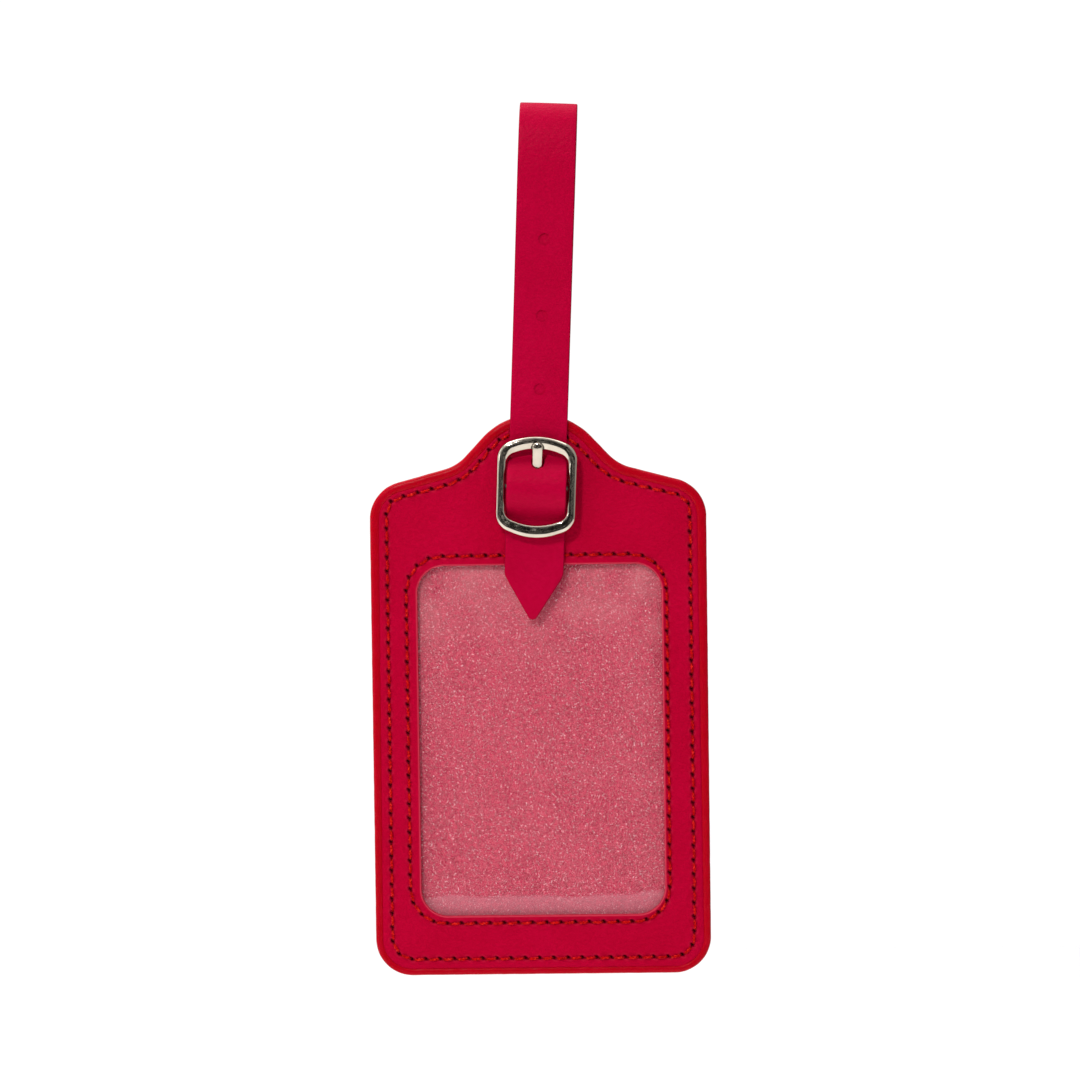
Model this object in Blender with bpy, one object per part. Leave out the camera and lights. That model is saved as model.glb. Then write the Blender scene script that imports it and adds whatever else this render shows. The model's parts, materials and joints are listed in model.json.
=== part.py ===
"""Leather luggage tag with a window, a card pocket and a buckled strap.

The tag hangs upright: +Z up, front face towards -Y, the body's plane of symmetry at X = 0.
The origin is the inside of the strap loop's top, where a handle would carry the tag.
The strap and the buckle lean a little to the right of the body, so they hang under one tilted empty.
"""

import math

import bmesh
import bpy
from mathutils import Vector

MM = 0.001

# Body outline, in millimetres
BODY_WIDTH = 70.5
BODY_TOP = -63.8
BODY_BOTTOM = -181.7
DOME_RADIUS = 15.7
FLANK_ANGLE = math.radians(47)
FLANK_END_X = 16.83
NECK_RADIUS = 10.0
SHOULDER_ANGLE = math.radians(15)
SHOULDER_RADIUS = 8.0
BOTTOM_RADIUS = 7.7
ARC_STEP = math.radians(11)

# Layers: front face and back face of each, along Y
FRONT_LEATHER = (-2.05, -1.05)
FILM = (-0.95, -0.65)
BOARD = (-0.55, 0.45)
CARD = (-0.20, 0.15)
LINING = (0.55, 0.95)
BACK_LEATHER = (1.05, 2.05)
FACE_Y = FRONT_LEATHER[0]
BACK_Y = BACK_LEATHER[1]
EDGE_WIDTH = 1.5
EDGE_PROUD = 0.15
LAYER_INSET = 1.6

# Window, pocket and card
WINDOW_HALF_WIDTH = 25.7
WINDOW_TOP = -95.5
WINDOW_BOTTOM = -169.0
WINDOW_RADIUS = 5.7
POCKET_LEFT = -28.6
POCKET_TOP = -92.6
POCKET_BOTTOM = -173.0
MOUTH_X = 28.0
MOUTH_TOP = -91.4
CARD_X = (-28.0, 30.0)
CARD_Z = (-172.5, -93.2)
CARD_RADIUS = 2.0
NOTCH_RADIUS = 9.0
NOTCH_OFFSET = 3.2
NOTCH_Z = -131.0

# Seams
SEAM_INSET = 3.3
THREAD_RADIUS = 0.3
FRONT_THREAD_Y = FACE_Y + 0.2
BACK_THREAD_Y = BACK_Y - 0.2
INNER_THREAD_RADIUS = 0.15
INNER_THREAD_Y = -0.45
GROOVE_HALF_WIDTH = 0.45
GROOVE_DEPTH = 0.6
WINDOW_SEAM_X = (-27.4, 26.7)
WINDOW_SEAM_Z = (-170.5, -93.5)
WINDOW_SEAM_RADIUS = 6.5

# Strap, in its own leaning frame: u along the strap, y as the body's, x across
LEAN = math.radians(2.55)
LEAN_PIVOT_Z = -76.1
STRAP_WIDTH = 12.0
STRAP_T = 1.0
SKIVED_T = 0.7
STRAP_CHAMFER = 0.2
SKIVED_CHAMFER = 0.15
STRAP_OVER_FACE = 0.7
STRAP_OVER_BACK = 0.8
JOINT_Z = -55.0
JOINT_GAP = 2.8
TIP_HINGE_Z = -92.5
TIP_GAP = 1.8
TIP_SHOULDER_Z = -97.9
TIP_SHOULDER_RADIUS = 0.8
TIP_POINT_Z = -107.9
TIP_POINT_RADIUS = 1.0
HOLE_RADIUS = 1.3
HOLE_Z = (-27.7, -43.5, -58.8)
BUCKLED_HOLE = (2.9, 3.6)
BUCKLED_HOLE_Z = -74.7
SLOT_Z = -83.8
SLOT_HEIGHT = 2.0
SLOT_WIDTH = 13.2

# Centre lines of the strap, as (y, z): half of the loop from its front end to its top, the front
# run as (depth, z) over the buckle's bar, and the skived tail of the fold round the bar
LOOP_LINE = (
    (-2.75, -53.6),
    (-2.9, -47.0),
    (-3.7, -37.0),
    (-5.0, -26.5),
    (-6.0, -17.0),
    (-6.3, -10.0),
    (-5.6, -4.4),
    (-3.4, -0.7),
)
RUN_LINE = (
    (0.7, -56.4),
    (0.7, -64.0),
    (0.7, -70.4),
    (0.75, -71.7),
    (1.5, -73.1),
    (2.9, -74.7),
    (4.1, -76.3),
    (4.75, -77.8),
    (4.9, -79.3),
    (4.6, -81.1),
    (3.4, -82.9),
    (1.8, -84.6),
    (0.85, -85.9),
    (0.7, -87.2),
    (0.7, -91.6),
)
TAIL_LINE = ((-5.8, -80.2), (-5.4, -81.2), (-4.95, -81.9), (-4.75, -82.4))

# Buckle, in the strap's frame. Depths are measured out from the front face.
BAR_Z = -79.2
BAR_DEPTH = 2.6
BAR_RADIUS = 0.75
NECK_PIN_RADIUS = 0.4
PIN_HOLE_RADIUS = 0.55
FRAME_OUTER = (16.8, 21.4)
FRAME_INNER = (13.2, 15.7)
FRAME_BACK = 1.8
FRAME_FRONT = 4.0
FRAME_BOW_ANGLE = math.radians(20)
FRAME_BOW_RADIUS = (13.0, 12.0)
FRAME_CORNER_RADIUS = (4.0, 2.6)
FRAME_SECTION = (
    (0.0, 0.25),
    (0.3, 0.0),
    (0.8, 0.0),
    (1.0, 0.18),
    (1.0, 0.55),
    (0.84, 0.86),
    (0.55, 1.0),
    (0.22, 0.9),
    (0.0, 0.62),
)
NOTCH_FLOOR = 3.45
NOTCH_END = 9.4
TONGUE_WIDTH = 2.1
TONGUE_T = 0.8
TONGUE_CHAMFER = 0.15
HOOK_RADIUS = 1.25
TONGUE_SHAFT = ((3.15, -77.8), (2.9, -76.8), (2.85, -75.6), (3.05, -74.3), (3.6, -72.6), (4.0, -71.3))
TONGUE_END = ((4.1, -70.5, 0.9), (4.1, -70.0, 0.5))
NOTCH_WIDTH = 2.9

# The fold of the strap's fixed end round the bar
FOLD_RADIUS = 1.2
FOLD_SLIT = 3.2
BACK_BEND_RADIUS = 1.0
SLOT_MIDDLE_T = 0.9
SLOT_OUT_Y = -2.25
SLOT_OUT_T = 0.8
FOLD_STITCH = (-5.87, -81.3)
FOLD_STITCH_REACH = 4.5
FOLD_STITCH_RADIUS = 0.1

SCARLET = (0.49, 0.003, 0.032)
DEEP_RED = (0.43, 0.003, 0.022)
THREAD_RED = (0.62, 0.012, 0.025)


def clear_scene():
    for obj in list(bpy.data.objects):
        bpy.data.objects.remove(obj, do_unlink=True)


def material(name, colour, roughness, metallic=0.0, alpha=1.0):
    found = bpy.data.materials.get(name)
    if found:
        return found
    mat = bpy.data.materials.new(name)
    mat.use_nodes = True
    shader = mat.node_tree.nodes["Principled BSDF"]
    shader.inputs["Base Color"].default_value = (*colour, 1.0)
    shader.inputs["Roughness"].default_value = roughness
    shader.inputs["Metallic"].default_value = metallic
    shader.inputs["Alpha"].default_value = alpha
    return mat


def pivot(name, at, parent=None):
    """An empty at a joint's axis, which carries the pieces that turn about it."""
    empty = bpy.data.objects.new(name, None)
    bpy.context.collection.objects.link(empty)
    empty.empty_display_size = 5 * MM
    empty.parent = parent
    empty.location = (Vector(at) - (Vector(parent["at"]) if parent else Vector())) * MM
    empty["at"] = tuple(at)
    return empty


def finish_object(name, bm, mat, parent=None, smooth=False):
    """Turn a bmesh in millimetres into a named object in metres, its origin at its parent's pivot."""
    if parent:
        bmesh.ops.translate(bm, vec=-Vector(parent["at"]), verts=bm.verts)
    bmesh.ops.scale(bm, vec=(MM, MM, MM), verts=bm.verts)
    bmesh.ops.recalc_face_normals(bm, faces=bm.faces)
    if bm.calc_volume(signed=True) < 0:
        bmesh.ops.reverse_faces(bm, faces=bm.faces)
    mesh = bpy.data.meshes.new(name)
    bm.to_mesh(mesh)
    bm.free()
    if smooth:
        mesh.shade_smooth()
        mesh.set_sharp_from_angle(angle=math.radians(40))
    mesh.materials.append(mat)
    obj = bpy.data.objects.new(name, mesh)
    bpy.context.collection.objects.link(obj)
    obj.parent = parent
    return obj


def as_cutter(obj):
    obj.hide_render = True
    obj.display_type = "WIRE"
    return obj


def cut(obj, cutter, operation="DIFFERENCE"):
    mod = obj.modifiers.new(cutter.name, "BOOLEAN")
    mod.object = cutter
    mod.operation = operation
    mod.solver = "EXACT"


# Outlines: a corner is (x, z, radius), and corners run anticlockwise seen from the front


def turn_at(corners, i):
    """Unit directions into and out of corner i, and the signed turn (left is positive)."""
    before = Vector(corners[i - 1][:2])
    here = Vector(corners[i][:2])
    after = Vector(corners[(i + 1) % len(corners)][:2])
    d_in = (here - before).normalized()
    d_out = (after - here).normalized()
    cross = d_in.x * d_out.y - d_in.y * d_out.x
    return here, d_in, d_out, math.atan2(cross, d_in.dot(d_out))


def inset_corners(corners, inset):
    """Move every side inwards by inset, keeping the round corners concentric."""
    moved = []
    for i, (_, _, radius) in enumerate(corners):
        here, d_in, d_out, turn = turn_at(corners, i)
        n_in = Vector((-d_in.y, d_in.x))
        n_out = Vector((-d_out.y, d_out.x))
        point = here + inset * (n_in + n_out) / (1.0 + n_in.dot(n_out))
        moved.append((point.x, point.y, radius - math.copysign(inset, turn)))
    return moved


def rounded(corners):
    """The outline's points, with each corner as an arc; the count depends on the turns alone."""
    points = []
    for i, (_, _, radius) in enumerate(corners):
        here, d_in, _, turn = turn_at(corners, i)
        side = math.copysign(1.0, turn)
        start = here - d_in * radius * math.tan(abs(turn) / 2)
        centre = start + Vector((-d_in.y, d_in.x)) * side * radius
        steps = max(2, round(abs(turn) / ARC_STEP))
        arm = start - centre
        for k in range(steps + 1):
            a = turn * k / steps
            points.append(
                (
                    centre.x + arm.x * math.cos(a) - arm.y * math.sin(a),
                    centre.y + arm.x * math.sin(a) + arm.y * math.cos(a),
                )
            )
    return points


def rectangle(x_range, z_range, radius):
    x0, x1 = x_range
    z0, z1 = z_range
    return [(x1, z1, radius), (x0, z1, radius), (x0, z0, radius), (x1, z0, radius)]


def lean_corners(corners):
    """Turn corners from the strap's frame into the body's."""
    out = []
    for x, z, radius in corners:
        dz = z - LEAN_PIVOT_Z
        out.append(
            (
                x * math.cos(LEAN) + dz * math.sin(LEAN),
                LEAN_PIVOT_Z + dz * math.cos(LEAN) - x * math.sin(LEAN),
                radius,
            )
        )
    return out


def body_corners():
    half = BODY_WIDTH / 2
    apex = BODY_TOP - DOME_RADIUS + DOME_RADIUS / math.cos(FLANK_ANGLE)
    neck_z = apex - FLANK_END_X * math.tan(FLANK_ANGLE)
    shoulder_z = neck_z - (half - FLANK_END_X) * math.tan(SHOULDER_ANGLE)
    return [
        (0.0, apex, DOME_RADIUS),
        (-FLANK_END_X, neck_z, NECK_RADIUS),
        (-half, shoulder_z, SHOULDER_RADIUS),
        (-half, BODY_BOTTOM, BOTTOM_RADIUS),
        (half, BODY_BOTTOM, BOTTOM_RADIUS),
        (half, shoulder_z, SHOULDER_RADIUS),
        (FLANK_END_X, neck_z, NECK_RADIUS),
    ]


BODY = body_corners()
LAYER = inset_corners(BODY, LAYER_INSET)
SLOT = lean_corners(
    rectangle(
        (-SLOT_WIDTH / 2, SLOT_WIDTH / 2),
        (SLOT_Z - SLOT_HEIGHT / 2, SLOT_Z + SLOT_HEIGHT / 2),
        0.6,
    )
)
WINDOW = rectangle(
    (-WINDOW_HALF_WIDTH, WINDOW_HALF_WIDTH), (WINDOW_BOTTOM, WINDOW_TOP), WINDOW_RADIUS
)
WINDOW_SEAM = rectangle(WINDOW_SEAM_X, WINDOW_SEAM_Z, WINDOW_SEAM_RADIUS)


def open_right(top_z, corner_radius, inner=()):
    """The layers' outline with the right side cut away below top_z, as at the pocket's mouth."""
    apex, neck_l, shoulder_l, low_l, _, shoulder_r, neck_r = LAYER
    mouth = [
        (MOUTH_X, LAYER[3][1], corner_radius),
        *inner,
        (shoulder_r[0], top_z, corner_radius),
    ]
    return [apex, neck_l, shoulder_l, low_l, *mouth, shoulder_r, neck_r]


# Solids


def plate(name, outline, y_range, mat, holes=(), parent=None):
    """A flat sheet between two depths, with holes through it."""
    bm = bmesh.new()
    edges = []
    for loop in (outline, *holes):
        verts = [bm.verts.new((x, y_range[0], z)) for x, z in loop]
        edges += [bm.edges.new((v, verts[i - 1])) for i, v in enumerate(verts)]
    bmesh.ops.triangle_fill(bm, edges=edges, use_beauty=True)
    wall = bmesh.ops.extrude_face_region(bm, geom=list(bm.faces))
    moved = [v for v in wall["geom"] if isinstance(v, bmesh.types.BMVert)]
    bmesh.ops.translate(bm, verts=moved, vec=(0, y_range[1] - y_range[0], 0))
    return finish_object(name, bm, mat, parent)


def closed_loft(name, loops, mat, parent=None, smooth=True):
    """A ring: each loop runs all the way round, and the last loop joins the first."""
    bm = bmesh.new()
    rings = [[bm.verts.new(p) for p in loop] for loop in loops]
    for k, ring in enumerate(rings):
        last = rings[k - 1]
        for i, vert in enumerate(ring):
            bm.faces.new((vert, ring[i - 1], last[i - 1], last[i]))
    return finish_object(name, bm, mat, parent, smooth)


def seam_ring(name, corners, inset, y, radius, mat, parent):
    """A round thread that follows an outline all the way."""
    sides = 6
    loops = []
    for k in range(sides):
        a = math.tau * k / sides
        path = rounded(inset_corners(corners, inset + radius * math.cos(a)))
        loops.append([(x, y + radius * math.sin(a), z) for x, z in path])
    return closed_loft(name, loops, mat, parent)


def groove_cutter(name, corners, inset, y_range):
    """A square-section ring that cuts the shallow channel a seam lies in."""
    near, far = inset - GROOVE_HALF_WIDTH, inset + GROOVE_HALF_WIDTH
    loops = []
    for offset, y in ((near, y_range[0]), (far, y_range[0]), (far, y_range[1]), (near, y_range[1])):
        path = rounded(inset_corners(corners, offset))
        loops.append([(x, y, z) for x, z in path])
    return as_cutter(closed_loft(name, loops, material("cutter", SCARLET, 1.0), smooth=False))


def box_cutter(name, x_range, y_range, z_range, parent=None):
    outline = [(x, z) for x, z, _ in rectangle(x_range, z_range, 0.0)]
    return as_cutter(plate(name, outline, y_range, material("cutter", SCARLET, 1.0), parent=parent))


def rod(name, start, end, radius, mat, parent=None, sides=16):
    """A round bar between two points."""
    bm = bmesh.new()
    axis = Vector(end) - Vector(start)
    bmesh.ops.create_cone(
        bm, cap_ends=True, segments=sides, radius1=radius, radius2=radius, depth=axis.length
    )
    turn = axis.to_track_quat("Z", "Y").to_matrix()
    bmesh.ops.rotate(bm, cent=(0, 0, 0), matrix=turn, verts=bm.verts)
    bmesh.ops.translate(bm, vec=(Vector(start) + Vector(end)) / 2, verts=bm.verts)
    return finish_object(name, bm, mat, parent, smooth=True)


def turned_bar(name, profile, y, z, mat, parent, sides=16):
    """A bar turned about a line along X, from (x, radius) rows, with flat ends."""
    bm = bmesh.new()
    turns = [math.tau * k / sides for k in range(sides)]
    rings = []
    for x, radius in profile:
        ring = [(x, y + radius * math.cos(a), z + radius * math.sin(a)) for a in turns]
        rings.append([bm.verts.new(p) for p in ring])
    for near, far in zip(rings, rings[1:]):
        for i in range(sides):
            bm.faces.new((near[i], near[i - 1], far[i - 1], far[i]))
    bm.faces.new(rings[0])
    bm.faces.new(rings[-1])
    return finish_object(name, bm, mat, parent, smooth=True)


def smooth_path(points, steps):
    """A Catmull-Rom curve through (y, z, thickness, width) rows."""
    rows = [Vector(p) for p in points]
    rows = [2 * rows[0] - rows[1], *rows, 2 * rows[-1] - rows[-2]]
    out = []
    for i in range(1, len(rows) - 2):
        p0, p1, p2, p3 = rows[i - 1 : i + 3]
        for k in range(steps):
            t = k / steps
            out.append(
                0.5
                * (
                    2 * p1
                    + (p2 - p0) * t
                    + (2 * p0 - 5 * p1 + 4 * p2 - p3) * t**2
                    + (3 * p1 - p0 - 3 * p2 + p3) * t**3
                )
            )
    out.append(rows[-2])
    return out


def strip(name, path, mat, chamfer, parent):
    """A flat band swept along a path in the Y-Z plane, with chamfered edges."""
    bm = bmesh.new()
    sections = []
    for i, row in enumerate(path):
        ahead = path[min(i + 1, len(path) - 1)]
        behind = path[max(i - 1, 0)]
        along = Vector((ahead[0] - behind[0], ahead[1] - behind[1])).normalized()
        out = Vector((-along.y, along.x))
        half_t, half_w = row[2] / 2, row[3] / 2
        ring = []
        for sx, sn in ((-1, -1), (1, -1), (1, 1), (-1, 1)):
            flat = (sx * (half_w - chamfer), sn * half_t)
            side = (sx * half_w, sn * (half_t - chamfer))
            ring += [side, flat] if sx == sn else [flat, side]
        sections.append(
            [bm.verts.new((x, row[0] + n * out.x, row[1] + n * out.y)) for x, n in ring]
        )
    for near, far in zip(sections, sections[1:]):
        for i in range(len(near)):
            bm.faces.new((near[i], near[i - 1], far[i - 1], far[i]))
    bm.faces.new(sections[0])
    bm.faces.new(sections[-1])
    return finish_object(name, bm, mat, parent)


def arc_rows(y, z, radius, start, end, thickness, width, steps):
    """Rows round a centre. Angle 0 points up and 90 degrees points out of the front."""
    rows = []
    for k in range(steps + 1):
        a = math.radians(start + (end - start) * k / steps)
        rows.append((y - radius * math.sin(a), z + radius * math.cos(a), thickness, width))
    return rows


def depth_y(depth):
    return FACE_Y - depth


# The tag's body


def build_body(tag):
    """The layers from front to back, with the strap's slot through all but the card."""
    front_leather = material("leather_front", SCARLET, 0.42)
    back_leather = material("leather_back", SCARLET, 0.45)
    film = material("clear_film", (0.8, 0.6, 0.6), 0.1, alpha=0.35)
    layer = rounded(LAYER)
    slot = rounded(SLOT)
    front = plate("front_panel", layer, FRONT_LEATHER, front_leather, (slot, rounded(WINDOW)), tag)
    plate("window_film", layer, FILM, film, (slot,), tag)
    card_slide = pivot("card_slide_axis", (CARD_X[1], 0.0, NOTCH_Z), tag)
    card = rounded(rectangle(CARD_X, CARD_Z, CARD_RADIUS))
    plate("insert_card", card, CARD, material("card_stock", (0.60, 0.10, 0.15), 0.8), (), card_slide)
    pocket = [
        (MOUTH_X, POCKET_BOTTOM, 0.8),
        (POCKET_LEFT, POCKET_BOTTOM, 1.5),
        (POCKET_LEFT, POCKET_TOP, 1.5),
    ]
    board = rounded(open_right(POCKET_TOP, 0.8, pocket))
    plate("stiffener_board", board, BOARD, material("board", (0.35, 0.06, 0.07), 0.9), (slot,), tag)
    mouth = rounded(open_right(MOUTH_TOP, 2.0, [(MOUTH_X, MOUTH_TOP, 2.5)]))
    lining = plate("back_lining", mouth, LINING, material("lining", (0.45, 0.05, 0.09), 0.9), (slot,), tag)
    back = plate("back_panel", mouth, BACK_LEATHER, back_leather, (slot,), tag)
    notch_x = MOUTH_X + NOTCH_OFFSET
    near, far = (notch_x, 0.0, NOTCH_Z), (notch_x, 4.0, NOTCH_Z)
    thumb = rod("thumb_notch_cutter", near, far, NOTCH_RADIUS, front_leather, sides=40)
    cut(lining, as_cutter(thumb))
    cut(back, thumb)
    return front, back


def build_seams(tag, front, back):
    """Two lines of stitching, each a needle thread in a channel on the front and a bobbin thread behind."""
    thread = material("thread", THREAD_RED, 0.55)
    front_channel = (FACE_Y - 1.0, FACE_Y + GROOVE_DEPTH)
    back_channel = (BACK_Y - GROOVE_DEPTH, BACK_Y + 1.0)
    cut(front, groove_cutter("outer_channel_cutter", BODY, SEAM_INSET, front_channel))
    cut(front, groove_cutter("window_channel_cutter", WINDOW_SEAM, 0.0, front_channel))
    cut(back, groove_cutter("back_channel_cutter", BODY, SEAM_INSET, back_channel))
    seam_ring("outer_seam_needle_thread", BODY, SEAM_INSET, FRONT_THREAD_Y, THREAD_RADIUS, thread, tag)
    back_thread = seam_ring(
        "outer_seam_bobbin_thread", BODY, SEAM_INSET, BACK_THREAD_Y, THREAD_RADIUS, thread, tag
    )
    low, high = BODY_BOTTOM - 5.0, MOUTH_TOP + 1.0
    cut(back_thread, box_cutter("back_thread_cutter", (MOUTH_X - 1.0, 45.0), (0.0, 5.0), (low, high)))
    mouth_thread = seam_ring(
        "mouth_seam_bobbin_thread", BODY, SEAM_INSET, INNER_THREAD_Y, INNER_THREAD_RADIUS, thread, tag
    )
    mouth_box = box_cutter(
        "mouth_thread_keeper", (MOUTH_X + 0.4, 45.0), (-1.0, 0.5), (low, POCKET_TOP - 0.6)
    )
    cut(mouth_thread, mouth_box, "INTERSECT")
    seam_ring("window_seam_needle_thread", WINDOW_SEAM, 0.0, FRONT_THREAD_Y, THREAD_RADIUS, thread, tag)
    seam_ring(
        "window_seam_bobbin_thread", WINDOW_SEAM, 0.0, INNER_THREAD_Y, INNER_THREAD_RADIUS, thread, tag
    )


def build_edge(tag):
    """The painted bead round the layers' edges, open at the back where the pocket's mouth is."""
    half = BACK_Y + EDGE_PROUD
    front_half = [
        (EDGE_WIDTH, 0.07),
        (0.8 * EDGE_WIDTH, 0.0),
        (0.4 * EDGE_WIDTH, 0.05),
        (0.1 * EDGE_WIDTH, 0.4),
        (0.0, 1.1),
    ]
    profile = [(inset, -half + drop) for inset, drop in front_half]
    profile += [(inset, half - drop) for inset, drop in reversed(front_half)]
    loops = []
    for inset, y in profile:
        loops.append([(x, y, z) for x, z in rounded(inset_corners(BODY, inset))])
    coat = closed_loft("edge_coat", loops, material("edge_paint", (0.50, 0.006, 0.012), 0.3), tag)
    mouth = box_cutter(
        "mouth_cutter",
        (MOUTH_X + 0.2, 45.0),
        (BOARD[0] - 0.05, 5.0),
        (BODY_BOTTOM - 5.0, MOUTH_TOP),
    )
    cut(coat, mouth)


# The strap


def band(*points):
    """Strap rows at full width and thickness, from (y, z) points."""
    return [(y, z, STRAP_T, STRAP_WIDTH) for y, z in points]


def build_loop_and_run(lean, leather):
    """The loop above the joint and the free end that runs down the front over the bar."""
    front_y, back_y = LOOP_LINE[0][0], BACK_Y + STRAP_OVER_BACK
    over_top = [*LOOP_LINE, (0.0, STRAP_T / 2), *((-y, z) for y, z in reversed(LOOP_LINE[1:]))]
    loop_rows = smooth_path(band(*over_top, (back_y, LOOP_LINE[0][1])), 3)
    loop = strip("strap_loop", loop_rows, leather, STRAP_CHAMFER, lean)
    over_bar = [(depth_y(depth), z) for depth, z in RUN_LINE]
    run = strip("strap_front_run", smooth_path(band(*over_bar), 3), leather, STRAP_CHAMFER, lean)

    for i, z in enumerate(HOLE_Z):
        near, far = (0.0, -12.0, z), (0.0, 0.0, z)
        hole = rod(f"hole_cutter_{i}", near, far, HOLE_RADIUS, leather, lean, sides=20)
        cut(loop if z > JOINT_Z else run, as_cutter(hole))
    half_x, half_z = BUCKLED_HOLE[0] / 2, BUCKLED_HOLE[1] / 2
    x_range, z_range = (-half_x, half_x), (BUCKLED_HOLE_Z - half_z, BUCKLED_HOLE_Z + half_z)
    ring = rounded(rectangle(x_range, z_range, half_x - 0.01))
    through = (depth_y(7.0), depth_y(0.15))
    cut(run, as_cutter(plate("buckled_hole_cutter", ring, through, leather, (), lean)))


def build_fixed_end(lean, leather):
    """The end that runs down the back, out through the slot and round the bar, stitched to itself."""
    back_y = BACK_Y + STRAP_OVER_BACK
    bar_y = depth_y(BAR_DEPTH)
    fold_y = bar_y + FOLD_RADIUS
    rise = SLOT_OUT_Y - fold_y
    rows = band((back_y, JOINT_Z - JOINT_GAP / 2), (back_y, -64.0), (back_y, -74.0))
    bend = (back_y - BACK_BEND_RADIUS, SLOT_Z + BACK_BEND_RADIUS, BACK_BEND_RADIUS)
    rows += arc_rows(*bend, 270, 180, STRAP_T, STRAP_WIDTH, 6)
    rows += [(0.0, SLOT_Z, SLOT_MIDDLE_T, STRAP_WIDTH)]
    rows += arc_rows(SLOT_OUT_Y, SLOT_Z + rise, rise, 180, 90, SLOT_OUT_T, STRAP_WIDTH, 6)
    rows += [(fold_y, -81.5, SKIVED_T, STRAP_WIDTH)]
    rows += arc_rows(bar_y, BAR_Z, FOLD_RADIUS, 270, 450, SKIVED_T, STRAP_WIDTH, 14)
    rows += [(y, z, SKIVED_T, STRAP_WIDTH) for y, z in TAIL_LINE]
    fold = strip("strap_fixed_end", rows, leather, SKIVED_CHAMFER, lean)
    half_slit = FOLD_SLIT / 2
    slit = box_cutter("tongue_slit_cutter", (-half_slit, half_slit), (-7.0, -2.6), (-81.0, -77.0), lean)
    cut(fold, slit)
    left, right = (-FOLD_STITCH_REACH, *FOLD_STITCH), (FOLD_STITCH_REACH, *FOLD_STITCH)
    thread = material("thread", THREAD_RED, 0.55)
    rod("fold_stitching", left, right, FOLD_STITCH_RADIUS, thread, lean, sides=8)


def build_tip(tip_axis, leather):
    """The free end below the buckle, with its point."""
    half = STRAP_WIDTH / 2
    top = TIP_HINGE_Z - TIP_GAP / 2
    corners = [
        (half, top, 0.5),
        (-half, top, 0.5),
        (-half, TIP_SHOULDER_Z, TIP_SHOULDER_RADIUS),
        (0.0, TIP_POINT_Z, TIP_POINT_RADIUS),
        (half, TIP_SHOULDER_Z, TIP_SHOULDER_RADIUS),
    ]
    middle = depth_y(STRAP_OVER_FACE)
    depth = (middle - STRAP_T / 2, middle + STRAP_T / 2)
    plate("strap_tip", rounded(corners), depth, leather, (), tip_axis)


# The buckle


def frame_outline(size, bow_radius, corner_radius):
    """A rectangle with bowed top and bottom, centred on the bar."""
    half_w, half_h = size[0] / 2, size[1] / 2
    apex = half_h + bow_radius * (1 / math.cos(FRAME_BOW_ANGLE) - 1)
    side = apex - half_w * math.tan(FRAME_BOW_ANGLE)
    return rounded(
        [
            (0.0, BAR_Z + apex, bow_radius),
            (-half_w, BAR_Z + side, corner_radius),
            (-half_w, BAR_Z - side, corner_radius),
            (0.0, BAR_Z - apex, bow_radius),
            (half_w, BAR_Z - side, corner_radius),
            (half_w, BAR_Z + side, corner_radius),
        ]
    )


def build_buckle(bar_axis):
    nickel = material("nickel", (0.60, 0.55, 0.50), 0.22, 1.0)
    outer = frame_outline(FRAME_OUTER, FRAME_BOW_RADIUS[0], FRAME_CORNER_RADIUS[0])
    inner = frame_outline(FRAME_INNER, FRAME_BOW_RADIUS[1], FRAME_CORNER_RADIUS[1])
    depth = FRAME_FRONT - FRAME_BACK
    loops = []
    for share, height in FRAME_SECTION:
        y = depth_y(FRAME_BACK + height * depth)
        pairs = zip(inner, outer)
        loops.append([(a[0] + share * (b[0] - a[0]), y, a[1] + share * (b[1] - a[1])) for a, b in pairs])
    frame = closed_loft("buckle_frame", loops, nickel, bar_axis)
    bar_y = depth_y(BAR_DEPTH)
    reach = FRAME_OUTER[0] / 2
    left, right = (-reach - 2.0, bar_y, BAR_Z), (reach + 2.0, bar_y, BAR_Z)
    cut(frame, as_cutter(rod("pin_hole_cutter", left, right, PIN_HOLE_RADIUS, nickel, bar_axis)))
    half_notch = NOTCH_WIDTH / 2
    open_front = (depth_y(FRAME_FRONT + 2.0), depth_y(NOTCH_FLOOR))
    from_bar = (BAR_Z + 5.0, BAR_Z + NOTCH_END)
    notch = box_cutter("frame_notch_cutter", (-half_notch, half_notch), open_front, from_bar, bar_axis)
    cut(frame, notch)

    shoulder = FRAME_INNER[0] / 2 - 0.2
    end = reach - 0.1
    half_bar = [(end, NECK_PIN_RADIUS), (shoulder, NECK_PIN_RADIUS), (shoulder, BAR_RADIUS)]
    profile = [*((-x, radius) for x, radius in half_bar), *reversed(half_bar)]
    turned_bar("buckle_bar", profile, bar_y, BAR_Z, nickel, bar_axis)

    hook = arc_rows(bar_y, BAR_Z, HOOK_RADIUS, 330, 45, TONGUE_T, TONGUE_WIDTH, 20)
    hook += [(depth_y(depth), z, TONGUE_T, TONGUE_WIDTH) for depth, z in TONGUE_SHAFT]
    hook += [(depth_y(depth), z, share * TONGUE_T, share * TONGUE_WIDTH) for depth, z, share in TONGUE_END]
    strip("buckle_tongue", hook, nickel, TONGUE_CHAMFER, bar_axis)


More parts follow.
